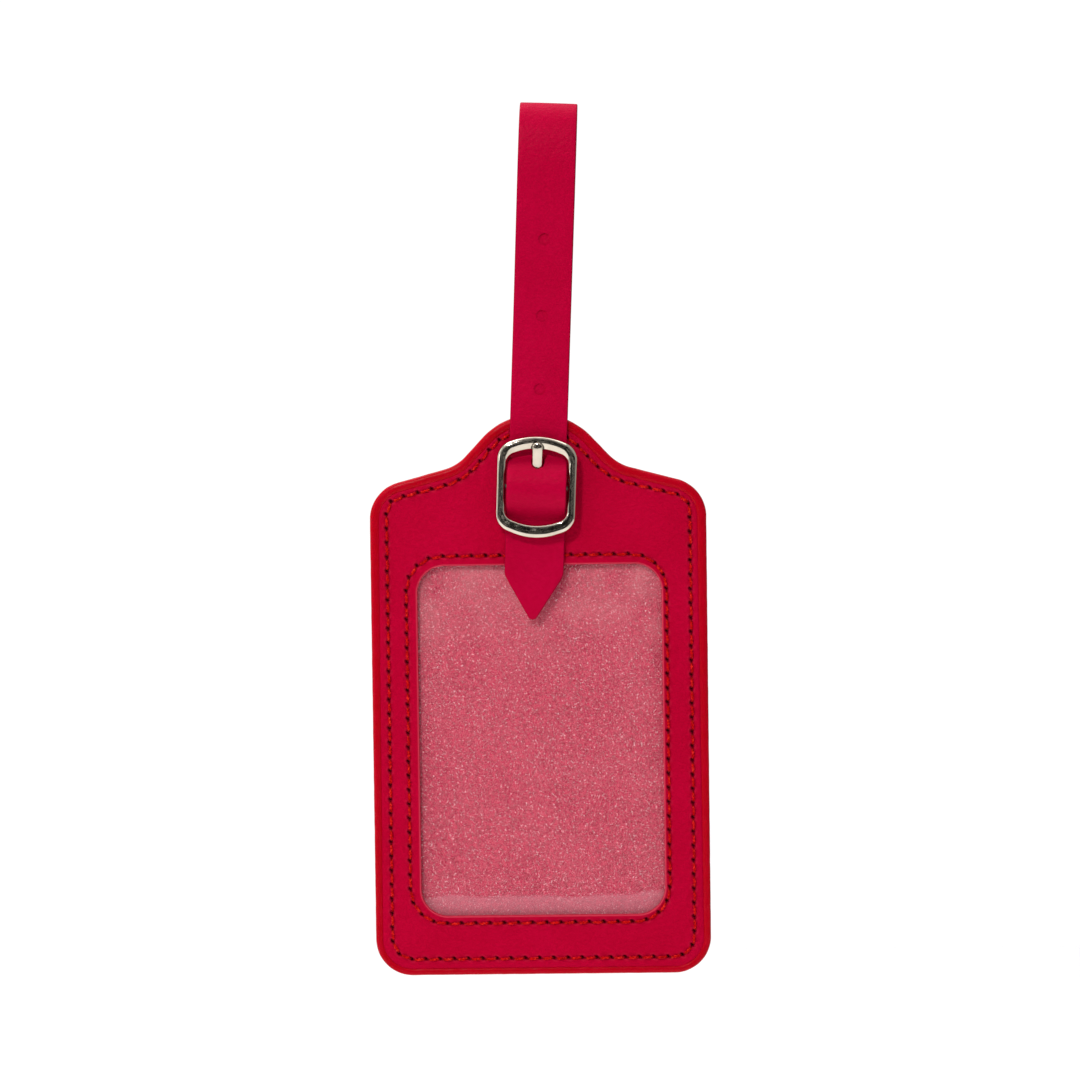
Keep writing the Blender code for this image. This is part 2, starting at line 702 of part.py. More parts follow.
def main():
    clear_scene()
    lean_z = (0.0, 0.0, LEAN_PIVOT_Z)
    lean = pivot("strap_lean", lean_z)
    lean.rotation_euler = (0.0, LEAN, 0.0)
    swing_arm = JOINT_Z - LEAN_PIVOT_Z
    swing = (swing_arm * math.sin(LEAN), 0.0, LEAN_PIVOT_Z + swing_arm * math.cos(LEAN))
    tag = pivot("tag_swing_axis", swing)
    front, back = build_body(tag)
    build_seams(tag, front, back)
    build_edge(tag)
    strap_leather = material("strap_leather", DEEP_RED, 0.45)
    build_loop_and_run(lean, strap_leather)
    build_fixed_end(lean, strap_leather)
    build_tip(pivot("tip_lift_axis", (0.0, depth_y(STRAP_OVER_FACE), TIP_HINGE_Z), lean), strap_leather)
    build_buckle(pivot("buckle_bar_axis", (0.0, depth_y(BAR_DEPTH), BAR_Z), lean))


main()
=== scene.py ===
"""Looks of the leather luggage tag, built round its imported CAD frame.

Lengths are in millimetres until mesh_object() makes them metres. X runs across the tag, Y from
the front face (low) to the back, Z up. The strap and the buckle have a frame of their own, which
leans a little: its Z runs along the strap and equals the tag's Z at the swing joint.
"""

import json
import math

import bmesh
import bpy
import numpy as np
from mathutils import Matrix, Vector
from mathutils.kdtree import KDTree


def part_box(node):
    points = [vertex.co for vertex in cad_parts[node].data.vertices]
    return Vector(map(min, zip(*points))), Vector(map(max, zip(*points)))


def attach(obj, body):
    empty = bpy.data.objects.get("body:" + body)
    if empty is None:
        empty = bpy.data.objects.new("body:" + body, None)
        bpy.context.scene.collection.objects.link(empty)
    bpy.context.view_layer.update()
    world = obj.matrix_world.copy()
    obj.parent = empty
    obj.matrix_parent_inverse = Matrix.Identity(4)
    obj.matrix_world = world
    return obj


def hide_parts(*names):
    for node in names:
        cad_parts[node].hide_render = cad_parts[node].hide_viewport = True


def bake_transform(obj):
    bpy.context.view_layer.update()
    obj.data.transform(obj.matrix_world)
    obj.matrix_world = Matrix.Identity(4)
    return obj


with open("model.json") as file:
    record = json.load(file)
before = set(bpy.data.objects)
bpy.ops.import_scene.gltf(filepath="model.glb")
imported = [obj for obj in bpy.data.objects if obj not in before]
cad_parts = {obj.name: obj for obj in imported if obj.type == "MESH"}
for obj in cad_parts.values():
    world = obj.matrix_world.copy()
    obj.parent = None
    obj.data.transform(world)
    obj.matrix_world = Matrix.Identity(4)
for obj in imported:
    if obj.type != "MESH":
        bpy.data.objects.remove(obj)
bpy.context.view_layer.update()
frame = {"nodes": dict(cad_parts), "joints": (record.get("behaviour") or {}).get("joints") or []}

MM = 0.001


def cad(node):
    """Lowest and highest corner of a CAD node, in millimetres."""
    low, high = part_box(node)
    return low / MM, high / MM


# The body's outline and layers. Places come from the frame, the outline's radii are its design.
COAT_LOW, COAT_HIGH = cad("edge_coat")
HALF_WIDTH = COAT_HIGH.x
BODY_TOP, BODY_BOTTOM = COAT_HIGH.z, COAT_LOW.z
FACE_Y, FACE_INNER_Y = (corner.y for corner in cad("front_panel"))
BACK_INNER_Y, BACK_Y = (corner.y for corner in cad("back_panel"))
FILM_Y = tuple(corner.y for corner in cad("window_film"))
LINING_Y = cad("back_lining")[0].y
DOME_RADIUS = 15.7
FLANK_ANGLE = math.radians(47)
FLANK_END_X = 16.83
NECK_RADIUS = 10.0
SHOULDER_ANGLE = math.radians(15)
SHOULDER_RADIUS = 8.0
BOTTOM_RADIUS = 7.7
FRONT_Y_OF_MOUTH = -0.6
BEHIND_Y = 6.0

# Window, pocket mouth and thumb notch
WINDOW = ((-25.5, 25.7), (-169.2, -95.5), 5.7)
WINDOW_SEAM = ((-27.75, 26.8), (-170.8, -93.5), 7.3)
WINDOW_ZONE = ((-29.2, 28.4), (-172.2, -92.0), 8.4)
MOUTH_X = 28.0
MOUTH_TOP = -91.4
MOUTH_RADIUS = 2.5
NOTCH_RADIUS = 9.0
NOTCH_AT = (31.2, -131.0)

# Edges, seams and stitches
EDGE_WIDTH_TOP = 1.95
EDGE_WIDTH_BOTTOM = 1.4
FACE_INSET = 0.9
ZONE_INSET = 4.7
SEAM_INSET = 3.4
SEAM_SHOULDER_RADIUS = 3.1
SEAM_SHOULDER_RISE = 0.35
SEAM_LEFT_SHIFT = 0.2
SEAM_LEFT_FLANK = 1.4
STITCH = 3.0
STITCH_SLANT = 0.1
STITCH_DIVE = 0.5
SLIT_SIZE = (0.48, 0.32)
# The slits sit up and to the left of the holes, so their painted shade lies on the side of each hole whose
# wall is in shade.
SLIT_SHIFT = (-0.14, 0.14)
SEAM_DIP, SEAM_DIP_WIDTH = 0.13, 0.7
PIT_DEPTH, LIP_HEIGHT, LIP_FUZZ = 0.5, 0.05, 0.06
EDGE_DIP, EDGE_DIP_WIDTH = 0.26, 0.55
# The window rim's pale line is wear and a painted highlight where light catches the cut rim.
RIM_ROUND, RIM_WEAR_AND_HIGHLIGHT = 0.32, 0.6
FILM_RIPPLE = 0.035
PLY_RADIUS = 0.185
PLY_OFFSET = 0.15
PLY_RINGS, PLY_SIDES = 17, 6
TWISTS = 2.0

# The strap's frame
SWING = next(joint for joint in frame["joints"] if joint["name"] == "tag_swing")
SWING_X, _, SWING_Z = (value / MM for value in SWING["pos_m"])
LEAN = math.atan2(-SWING["axis"][2], SWING["axis"][0])
SWING_AT = -55.0
STRAP_Y = (cad("strap_tip")[0].y + cad("strap_tip")[1].y) / 2
STRAP_BACK_Y = BACK_Y + 0.8
STRAP_WIDTH = 12.0
STRAP_T = 1.0
STRAP_CROWN = 0.04
SKIVED_T = 0.7
STRAP_ROUND = 0.28
CUT_EDGE, CUT_SHADE = 0.22, 0.45
# The loop's front half as (y, z), and the free end's rise over the buckle's bar as (height, z)
LOOP_LINE = ((-2.9, -47.0), (-3.7, -37.0), (-5.0, -26.5), (-6.0, -17.0), (-6.3, -10.0))
LOOP_LINE += ((-5.6, -4.4), (-3.4, -0.7))
RUN_LINE = ((0.0, -71.2), (0.03, -71.9), (0.62, -73.1), (2.1, -74.7), (3.4, -76.3), (4.05, -77.8))
RUN_LINE += ((4.2, -79.3), (3.9, -81.1), (2.7, -82.9), (1.1, -84.6), (0.15, -85.9), (0.0, -87.2))
HIDDEN_END = -70.6
END_START = -69.5
TIP_SHOULDER = -97.7
TIP_CORNER = -107.9
TIP_HINGE = -92.5
TIP_RADIUS = 1.0
END_WIDTH = 12.45
TIP_TAPER = math.atan2(END_WIDTH / 2, TIP_SHOULDER - TIP_CORNER)
TIP_CENTRE = TIP_CORNER + TIP_RADIUS / math.sin(TIP_TAPER)
TIP_POINT = TIP_CENTRE - TIP_RADIUS
WAIST = 1.1
WAIST_AT = -72.6
WAIST_SPREAD = 1.1
HOLE_RADIUS = 1.22
HOLE_DEPTH = 0.3
HOLES = (-27.7, -43.5, -58.8)
BUCKLED_HOLE = -73.9
SLOT_Z = -83.8
SLOT_SIZE = (12.2, 2.0)
SLOT_RADIUS = 0.6
FOLD_RADIUS = 1.2

# The buckle, round its bar
BAR_LOW, BAR_HIGH = cad("buckle_bar")
BAR_Y = (BAR_LOW.y + BAR_HIGH.y) / 2
BAR_RADIUS = (BAR_HIGH.y - BAR_LOW.y) / 2
BAR_X, BAR_Z = (BAR_LOW.x + BAR_HIGH.x) / 2, (BAR_LOW.z + BAR_HIGH.z) / 2
BAR_AT = SWING_AT - math.hypot(BAR_X - SWING_X, BAR_Z - SWING_Z)
PIN_RADIUS, BAR_END_RADIUS, BAR_BEVEL = 0.4, 0.7, 0.06
BAR_SIDES = 32
FRAME_OUTER, OUTER_BOW, OUTER_CORNER = (16.8, 21.4), 13.0, 4.0
FRAME_INNER, INNER_BOW, INNER_CORNER = (12.9, 15.7), 12.0, 2.3
FRAME_Y = tuple(corner.y for corner in cad("buckle_frame"))
FRAME_BOW = math.radians(20)
FRAME_FULLNESS = 1.1
REST_HALF_WIDTH, REST_DEPTH = 1.42, 0.62
REST_TOP, REST_LOW = 9.45, 5.0
HOOK_RADIUS = 1.25
TONGUE_T, TONGUE_WIDTH, TONGUE_ROUND = 0.8, 2.15, 0.75


# Outlines: a corner is (x, z, radius), and corners run anticlockwise seen from the front


def turn_at(corners, i):
    """A corner's place, the ways into and out of it, and its signed turn (left is positive)."""
    before, here = np.array(corners[i - 1][:2]), np.array(corners[i][:2])
    after = np.array(corners[(i + 1) % len(corners)][:2])
    d_in = (here - before) / np.linalg.norm(here - before)
    d_out = (after - here) / np.linalg.norm(after - here)
    turn = math.atan2(d_in[0] * d_out[1] - d_in[1] * d_out[0], float(d_in @ d_out))
    return here, d_in, d_out, turn


def left_of(way):
    """A direction turned a quarter to the left."""
    return np.stack([-way[..., 1], way[..., 0]], axis=-1)


def inset_corners(corners, inset):
    """Every side moved inwards by inset, with the round corners concentric."""
    moved = []
    for i, (_, _, radius) in enumerate(corners):
        here, d_in, d_out, turn = turn_at(corners, i)
        n_in, n_out = left_of(d_in), left_of(d_out)
        x, z = here + inset * (n_in + n_out) / (1.0 + float(n_in @ n_out))
        moved.append((x, z, radius - math.copysign(inset, turn)))
    return moved


def arcs(corners):
    """Start, centre and turn of each corner's arc."""
    found = []
    for i, (_, _, radius) in enumerate(corners):
        here, d_in, _, turn = turn_at(corners, i)
        start = here - d_in * radius * math.tan(abs(turn) / 2)
        found.append((start, start + left_of(d_in) * math.copysign(radius, turn), turn))
    return found


def on_arc(start, centre, angle):
    x, z = start - centre
    cos, sin = math.cos(angle), math.sin(angle)
    return centre + np.array((x * cos - z * sin, x * sin + z * cos))


def point_counts(corners, spacing):
    """How many points each arc and the side after it take at this spacing."""
    counts = []
    found = arcs(corners)
    for i, (start, centre, turn) in enumerate(found):
        following = found[(i + 1) % len(found)][0]
        side = np.linalg.norm(following - on_arc(start, centre, turn))
        bend = np.linalg.norm(start - centre) * abs(turn)
        counts.append((max(6, round(bend / spacing)), max(1, round(side / spacing))))
    return counts


def outline(corners, counts):
    """The closed outline's points, with the same counts for each outline that goes with it."""
    found = arcs(corners)
    points = []
    for i, (start, centre, turn) in enumerate(found):
        bend, side = counts[i]
        end, following = on_arc(start, centre, turn), found[(i + 1) % len(found)][0]
        points += [on_arc(start, centre, turn * k / bend) for k in range(bend)]
        points += [end + (following - end) * k / side for k in range(side)]
    return np.array(points)


def line_of(corners, spacing):
    return outline(corners, point_counts(corners, spacing))


def rectangle(x_range, z_range, radius):
    (x0, x1), (z0, z1) = x_range, z_range
    return [(x1, z1, radius), (x0, z1, radius), (x0, z0, radius), (x1, z0, radius)]


def body_corners():
    apex = BODY_TOP - DOME_RADIUS + DOME_RADIUS / math.cos(FLANK_ANGLE)
    neck = apex - FLANK_END_X * math.tan(FLANK_ANGLE)
    shoulder = neck - (HALF_WIDTH - FLANK_END_X) * math.tan(SHOULDER_ANGLE)
    left = [
        (-FLANK_END_X, neck, NECK_RADIUS),
        (-HALF_WIDTH, shoulder, SHOULDER_RADIUS),
        (-HALF_WIDTH, BODY_BOTTOM, BOTTOM_RADIUS),
    ]
    return [(0.0, apex, DOME_RADIUS), *left, *((-x, z, r) for x, z, r in reversed(left))]


BODY = body_corners()


def evenly(points, spacing, closed=True):
    """Points at equal steps along a polyline, with the direction at each."""
    line = np.vstack([points, points[:1]]) if closed else np.asarray(points, float)
    along = np.concatenate([[0.0], np.cumsum(np.linalg.norm(np.diff(line, axis=0), axis=1))])
    count = max(1, round(along[-1] / spacing))
    at = np.arange(count + (not closed)) * along[-1] / count

    def read(at):
        return np.column_stack([np.interp(at, along, column) for column in line.T])

    way = read(at + 0.05) - read(at - 0.05)
    return read(at), way / np.linalg.norm(way, axis=1, keepdims=True)


def catmull_rom(rows, spacing):
    """Evenly spaced rows along a smooth curve through rows of numbers."""
    rows = np.array(rows, float)
    rows = np.vstack([2 * rows[0] - rows[1], rows, 2 * rows[-1] - rows[-2]])
    fine = []
    for i in range(1, len(rows) - 2):
        p0, p1, p2, p3 = rows[i - 1 : i + 3]
        square, cube = 2 * p0 - 5 * p1 + 4 * p2 - p3, 3 * p1 - p0 - 3 * p2 + p3
        for t in np.arange(0, 1, 0.05):
            fine.append(0.5 * (2 * p1 + (p2 - p0) * t + square * t**2 + cube * t**3))
    fine.append(rows[-2])
    return evenly(np.array(fine), spacing, closed=False)[0]


def lean(points):
    """From the strap's frame to the tag's."""
    points = np.asarray(points, float)
    up = points[..., 2] - SWING_AT
    out = points.copy()
    out[..., 0] = SWING_X + points[..., 0] * math.cos(LEAN) + up * math.sin(LEAN)
    out[..., 2] = SWING_Z + up * math.cos(LEAN) - points[..., 0] * math.sin(LEAN)
    return out


def at_depth(points, y):
    """Points (x, z) set at a depth, which may differ from point to point."""
    return np.column_stack([points[:, 0], np.broadcast_to(y, len(points)), points[:, 1]])


# Meshes


def mesh_object(name, points, faces, material, sharp=None):
    """An object from points in millimetres, its faces turned outwards and shaded smooth."""
    mesh = bpy.data.meshes.new(name)
    mesh.from_pydata((np.asarray(points, float) * MM).tolist(), [], faces)
    return finish_mesh(name, mesh, material, sharp)


def finish_mesh(name, mesh, material, sharp=None):
    bm = bmesh.new()
    bm.from_mesh(mesh)
    bmesh.ops.recalc_face_normals(bm, faces=bm.faces)
    if bm.calc_volume(signed=True) < 0:
        bmesh.ops.reverse_faces(bm, faces=bm.faces)
    bm.to_mesh(mesh)
    bm.free()
    mesh.shade_smooth()
    if sharp:
        mesh.set_sharp_from_angle(angle=math.radians(sharp))
    mesh.materials.clear()
    mesh.materials.append(material)
    return add_object(name, mesh)


def add_object(name, data):
    obj = bpy.data.objects.new(name, data)
    bpy.context.scene.collection.objects.link(obj)
    return obj


def grid_faces(rows, columns, first=0, closed_rows=False, closed_columns=True):
    """Quads between neighbouring rows of points; closed ones join their last to their first."""
    faces = []
    for r in range(rows if closed_rows else rows - 1):
        near, far = first + r * columns, first + (r + 1) % rows * columns
        for c in range(columns if closed_columns else columns - 1):
            after = (c + 1) % columns
            faces.append((near + c, near + after, far + after, far + c))
    return faces


def tube_faces(rows, columns, first=0):
    """The skin of a closed tube of rings, with a cap at each end."""
    last = first + (rows - 1) * columns
    caps = [tuple(range(first, first + columns)), tuple(range(last, last + columns))]
    return grid_faces(rows, columns, first) + caps


def float_attribute(obj, name, values):
    layer = obj.data.attributes.new(name, "FLOAT", "POINT")
    layer.data.foreach_set("value", np.asarray(values, np.float32))


def positions(obj):
    flat = np.empty(len(obj.data.vertices) * 3, np.float32)
    obj.data.vertices.foreach_get("co", flat)
    return flat.reshape(-1, 3).astype(float) / MM


def move_points(obj, points):
    obj.data.vertices.foreach_set("co", (points * MM).astype(np.float32).ravel())
    obj.data.update()


def boolean(obj, cutters, sharp=30):
    """The object with the cutters' shapes taken away for good; the cutters are then removed."""
    for cutter in cutters:
        mod = obj.modifiers.new("cut", "BOOLEAN")
        mod.object, mod.solver = cutter, "EXACT"
    evaluated = obj.evaluated_get(bpy.context.evaluated_depsgraph_get())
    mesh = bpy.data.meshes.new_from_object(evaluated)
    name, material = obj.name, obj.data.materials[0]
    for old in (obj, *cutters):
        bpy.data.objects.remove(old)
    return finish_mesh(name, mesh, material, sharp)


def prism(points, y_range, material):
    """A closed solid with a flat outline, used as a cutter."""
    ends = [(x, y, z) for y in y_range for x, z in points]
    return mesh_object("cutter", ends, tube_faces(2, len(points)), material)


def leaning_prism(points, y_range, material):
    """A cutter given in the strap's frame."""
    cutter = prism(points, y_range, material)
    move_points(cutter, lean(positions(cutter)))
    return cutter


def circle(x, z, radius, count=48):
    turns = np.arange(count) * math.tau / count
    return np.column_stack([x + radius * np.cos(turns), z + radius * np.sin(turns)])


# Materials


def node(kind, inputs, tree=None, **settings):
    """A shader node in its inputs' tree or the one given. An input is a value or another's output."""
    linked = [value for value in inputs.values() if isinstance(value, bpy.types.NodeSocket)]
    tree = tree or linked[0].id_data
    made = tree.nodes.new("ShaderNode" + kind)
    for key, value in settings.items():
        setattr(made, key, value)
    for key, value in inputs.items():
        if value in linked:
            tree.links.new(value, made.inputs[key])
        else:
            made.inputs[key].default_value = value
    return made


def new_material(name, **sockets):
    mat = bpy.data.materials.new(name)
    mat.use_nodes = True
    shader = mat.node_tree.nodes["Principled BSDF"]
    for key, value in sockets.items():
        shader.inputs[key.replace("_", " ")].default_value = value
    return mat, mat.node_tree, shader


def coordinates(tree, stretch=(1, 1, 1), turn=(0, 0, 0)):
    at = node("TexCoord", {}, tree).outputs["Object"]
    return node("Mapping", {"Vector": at, "Scale": stretch, "Rotation": turn}).outputs[0]


def noise(at, size, detail=3.0, roughness=0.5, distortion=0.0):
    """Noise with features of about this size in millimetres, from 0 to 1."""
    inputs = {"Vector": at, "Scale": 1.0 / (size * MM), "Detail": detail}
    inputs |= {"Roughness": roughness, "Distortion": distortion}
    return node("TexNoise", inputs).outputs["Fac"]


def maths(operation, a, b):
    return node("Math", {0: a, 1: b}, operation=operation).outputs[0]


def spread(value, low, high, to_low=0.0, to_high=1.0):
    """A value's range stretched to another, and held inside it."""
    ends = {"From Min": low, "From Max": high, "To Min": to_low, "To Max": to_high}
    return node("MapRange", {"Value": value, **ends}).outputs[0]


def mixed(share, a, b):
    return node("Mix", {0: share, 6: a, 7: b}, data_type="RGBA").outputs[2]


def tinted(tone, *tints):
    """A tone with tints over it: value, where the tint starts and is full, its share, its colour."""
    for value, low, high, share, colour in tints:
        tone = mixed(spread(value, low, high, 0.0, share), tone, colour)
    return tone


def coat(shader, tone, roughness=None):
    """Links a shader's colour and roughness."""
    for key, value in (("Base Color", tone), ("Roughness", roughness)):
        if value:
            shader.id_data.links.new(value, shader.inputs[key])


def attribute(tree, name):
    return node("Attribute", {}, tree, attribute_name=name).outputs["Fac"]


def bump(shader, height, depth, before=None):
    """Relief of this depth in millimetres on the shader's normal, on top of an earlier bump."""
    below = {"Normal": before} if before else {}
    made = node("Bump", {"Height": height, "Distance": depth * MM, **below})
    shader.id_data.links.new(made.outputs[0], shader.inputs["Normal"])
    return made.outputs[0]


def srgb(red, green, blue):
    """A colour given as 8-bit screen values, as the shader's linear colour."""
    values = [value / 255 for value in (red, green, blue)]
    return (*(v / 12.92 if v < 0.04045 else ((v + 0.055) / 1.055) ** 2.4 for v in values), 1.0)


def leather(name, colour, deep, light, gloss, roughness, relief):
    """Smooth dyed leather: cloudy colour, a fine pebbled grain, painted shade in the needle slits and on
    cut edges, paler raised fibres and a painted highlight on the window rim.
    """
    grain = 0.6
    mat, tree, shader = new_material(name, Specular_IOR_Level=gloss)
    flat = coordinates(tree)
    slanting = coordinates(tree, (0.7, 1.0, 1.0), (0, 0.2, 0))
    cloud = noise(flat, 14, 4)
    mottle = noise(flat, 1.1, 5, 0.6)
    cells = {"Vector": slanting, "Scale": 1 / (grain * MM)}
    pebble = node("TexVoronoi", cells, feature="SMOOTH_F1").outputs["Distance"]
    fine = noise(slanting, grain * 0.7, 4, 0.65)
    tone = mixed(spread(cloud, 0.35, 0.65), deep, light)
    tone = mixed(spread(mottle, 0.3, 0.7, 0.15, 0.55), colour, tone)
    tone = tinted(tone, (pebble, 0.25, 0.8, 0.45, deep))
    # Pale pink where raised fibres are, and along the window rim a painted highlight as well as wear.
    worn_and_highlit = mixed(attribute(tree, "fuzz_and_highlight"), tone, srgb(226, 84, 104))
    # Near-black painted shade in the needle slits and along the strap's cut edges.
    dark = mixed(attribute(tree, "painted_shade"), worn_and_highlit, srgb(46, 0, 8))
    coat(shader, dark, spread(mottle, 0.3, 0.7, roughness - 0.06, roughness + 0.08))
    swell = bump(shader, noise(flat, 5, 2), 0.10)
    coarse = bump(shader, maths("SUBTRACT", 1.0, pebble), relief, swell)
    bump(shader, fine, relief, coarse)
    return mat


def edge_paint():
    """Glossy edge paint, laid on by hand in a few coats: slightly wavy with small dimples."""
    mat, tree, shader = new_material("edge_paint", Specular_IOR_Level=0.055)
    at = coordinates(tree)
    wave = noise(at, 2.6, 3)
    fine = noise(at, 0.4, 3, 0.6)
    tone = mixed(spread(wave, 0.3, 0.7), srgb(184, 1, 30), srgb(178, 1, 20))
    tone = tinted(tone, (fine, 0.55, 0.8, 0.5, srgb(160, 2, 12)))
    coat(shader, tone, spread(fine, 0.3, 0.7, 0.2, 0.34))
    first = bump(shader, wave, 0.12)
    bump(shader, fine, 0.03, first)
    return mat


def thread_material():
    """Waxed polyester thread: fine fibres, a dull gloss, random painted highlights and painted twist
    shade, and painted shade where it dives.
    """
    mat, tree, shader = new_material("thread", Specular_IOR_Level=0.07)
    at = coordinates(tree)
    fibre = noise(at, 0.09, 2, 0.7)
    uneven = noise(at, 0.45, 1)
    tone = mixed(spread(fibre, 0.3, 0.7), srgb(178, 0, 6), srgb(234, 6, 10))
    # Random dark spots are painted shade for the twist between the plies; random bright spots are painted
    # highlights.
    twist_shade_spots = uneven, 0.52, 0.6, 0.6, srgb(140, 0, 4)
    tone = tinted(tone, twist_shade_spots, (uneven, 0.42, 0.34, 0.45, srgb(255, 70, 50)))
    # Painted shade where the thread dives into its hole.
    tone = mixed(attribute(tree, "painted_shade"), tone, srgb(70, 0, 4))
    coat(shader, tone, spread(fibre, 0.2, 0.8, 0.32, 0.5))
    bump(shader, fibre, 0.03)
    return mat


def plated(name, dull, bright, roughness):
    """Polished plate with faint rub marks."""
    mat, tree, shader = new_material(name, Metallic=1.0)
    at = coordinates(tree)
    rub = noise(coordinates(tree, (1, 1, 0.15), (0, 0.5, 0)), 0.5, 4, 0.7)
    cloud = noise(at, 3.0, 3)
    tone = mixed(spread(cloud, 0.3, 0.7), dull, bright)
    coat(shader, tone, spread(rub, 0.35, 0.75, roughness, roughness + 0.1))
    swell = bump(shader, noise(at, 2.2, 1), 0.05)
    bump(shader, rub, 0.002, swell)
    return mat


def film_material():
    """Clear plastic gone hazy: mostly see-through, with a soft whitish bloom and a dull gloss."""
    mat, tree, shader = new_material("clear_film", Alpha=0.06, Specular_IOR_Level=0.15)
    at = coordinates(tree)
    haze = noise(at, 9, 4, 0.6)
    tone = mixed(spread(haze, 0.3, 0.7), srgb(228, 168, 182), srgb(246, 194, 204))
    coat(shader, tone, spread(haze, 0.3, 0.7, 0.3, 0.42))
    bump(shader, noise(at, 7, 3), 0.10)
    return mat


def card_material():
    """Rose paper card of pressed fibres: mottled, with pale flecks, a painted highlight in patches near
    its top and a painted reflection of the film in a wavy band at its foot.
    """
    mat, tree, shader = new_material("card_stock", Roughness=0.85, Specular_IOR_Level=0.1)
    at = coordinates(tree)
    fibres = noise(coordinates(tree, (1, 1, 0.45), (0, 0.3, 0)), 0.36, 4, 0.8, 0.3)
    crossing = noise(coordinates(tree, (0.5, 1, 1), (0, 0.3, 0)), 0.4, 4, 0.8, 0.3)
    mottle = noise(at, 1.9, 4, 0.75)
    patches = noise(at, 12, 2)
    flecks = noise(at, 0.3, 2, 0.6)
    weave = maths("MULTIPLY", maths("ADD", fibres, crossing), 0.5)
    tone = mixed(spread(weave, 0.45, 0.55), srgb(156, 0, 40), srgb(222, 52, 86))
    grain = noise(at, 0.2, 2, 0.8)
    tone = tinted(
        tone,
        (mottle, 0.42, 0.6, 0.3, srgb(202, 40, 78)),
        (patches, 0.4, 0.7, 0.3, srgb(216, 74, 98)),
        (grain, 0.54, 0.63, 0.75, srgb(238, 124, 144)),
        (grain, 0.46, 0.36, 0.8, srgb(160, 0, 46)),
        (flecks, 0.63, 0.66, 0.75, srgb(246, 206, 210)),
    )
    parts = node("SeparateXYZ", {0: at}).outputs
    # A painted reflection of the film runs along the window's foot; its top edge wanders.
    wander = maths("MULTIPLY", noise(coordinates(tree, (1, 0, 0)), 16, 1), 5.0 * MM)
    height = maths("SUBTRACT", parts["Z"], wander)
    foot, top = WINDOW[1]
    # A painted highlight: paler patches towards the window's top.
    upper = spread(parts["Z"], (top - 22.0) * MM, (top - 3.0) * MM, 0.0, 0.4)
    pale = maths("MULTIPLY", upper, spread(noise(at, 9, 1), 0.35, 0.65))
    tone = mixed(pale, tone, srgb(228, 138, 144))
    band_top = (foot + 1.4) * MM
    soft = 0.35 * MM
    tone = tinted(tone, (height, band_top + soft, band_top - soft, 0.4, srgb(218, 140, 154)))
    coat(shader, tone)
    bump(shader, weave, 0.04)
    return mat


def matt_board(name, colour, other, size=0.8):
    """Plain fibre board or paper lining, mottled along its fibres."""
    mat, tree, shader = new_material(name, Roughness=0.9, Specular_IOR_Level=0.2)
    fibres = noise(coordinates(tree, (1, 1, 0.35)), size, 5, 0.7, 0.6)
    tone = mixed(spread(fibres, 0.35, 0.65), colour, other)
    coat(shader, tone)
    bump(shader, fibres, 0.06)
    return mat


# Seams: where the needle holes are, what the sewing does to the leather, and the painted shade in its
# slits


def seam_holes(corners):
    """Needle holes at equal steps round a seam, with the seam's direction at each."""
    return evenly(line_of(corners, 0.2), STITCH)


def outer_seam():
    """The outer seam's corners: inside the edge all round, tighter at the shoulders, a bit off at left."""
    corners = inset_corners(BODY, SEAM_INSET)
    apex, left_shoulder, left_bottom, right_shoulder = 0, 2, 3, 5
    x, z, radius = corners[apex]
    aside, rise = SEAM_LEFT_FLANK * math.cos(FLANK_ANGLE), SEAM_LEFT_FLANK * math.sin(FLANK_ANGLE)
    corners[apex] = (x - aside, z + rise, radius)
    for i in (left_shoulder, right_shoulder):
        x, z, _ = corners[i]
        corners[i] = (x, z + SEAM_SHOULDER_RISE, SEAM_SHOULDER_RADIUS)
    for i in (left_shoulder, left_bottom):
        x, z, radius = corners[i]
        corners[i] = (x + SEAM_LEFT_SHIFT, z, radius)
    return corners


OUTER_SEAM = outer_seam()
INNER_SEAM = rectangle(*WINDOW_SEAM)


def tree_of(points):
    """A search tree of points with two or three coordinates."""
    tree = KDTree(len(points))
    for i, point in enumerate(points):
        tree.insert((*point, 0.0)[:3], i)
    tree.balance()
    return tree


def distances(tree, x, z):
    return np.array([tree.find((a, b, 0.0))[2] for a, b in zip(x, z)])


def needle_spots(holes, way):
    """Both threads' ends at each hole: a stitch leaves a little outside the line and ends inside."""
    inwards = left_of(way) * STITCH_SLANT
    return holes - inwards, holes + inwards


def slit_space(x, z):
    """Places measured along and across the awl's slanting slit, in half slit sizes."""
    along, across = (x - z) / math.sqrt(2), (x + z) / math.sqrt(2)
    return along / SLIT_SIZE[0], across / SLIT_SIZE[1]


def sew_relief(seams):
    """How far the face sinks at a place, how much painted shade its needle slit gets, and how raised its
    fibres are.
    """
    line_tree = tree_of(np.vstack([line_of(corners, 0.1) for corners in seams]))
    slits = np.vstack([seam_holes(corners)[0] for corners in seams]) + SLIT_SHIFT
    slit_tree = tree_of(np.stack(slit_space(slits[:, 0], slits[:, 1]), axis=1))

    def relief(x, z):
        to_line, to_slit = distances(line_tree, x, z), distances(slit_tree, *slit_space(x, z))
        painted_shade = np.exp(-(to_slit**4))
        lip = np.exp(-(((to_slit - 1.7) / 0.5) ** 2)) * np.clip(1.6 - to_line, 0, 1)
        dip = SEAM_DIP * np.exp(-((to_line / SEAM_DIP_WIDTH) ** 2))
        return dip + PIT_DEPTH * painted_shade - LIP_HEIGHT * lip, painted_shade, LIP_FUZZ * lip

    return relief


def edge_width(z):
    """The painted edge is wider at the top than at the bottom."""
    share = (np.asarray(z) - BODY_BOTTOM) / (BODY_TOP - BODY_BOTTOM)
    return EDGE_WIDTH_BOTTOM + (EDGE_WIDTH_TOP - EDGE_WIDTH_BOTTOM) * share


# The body


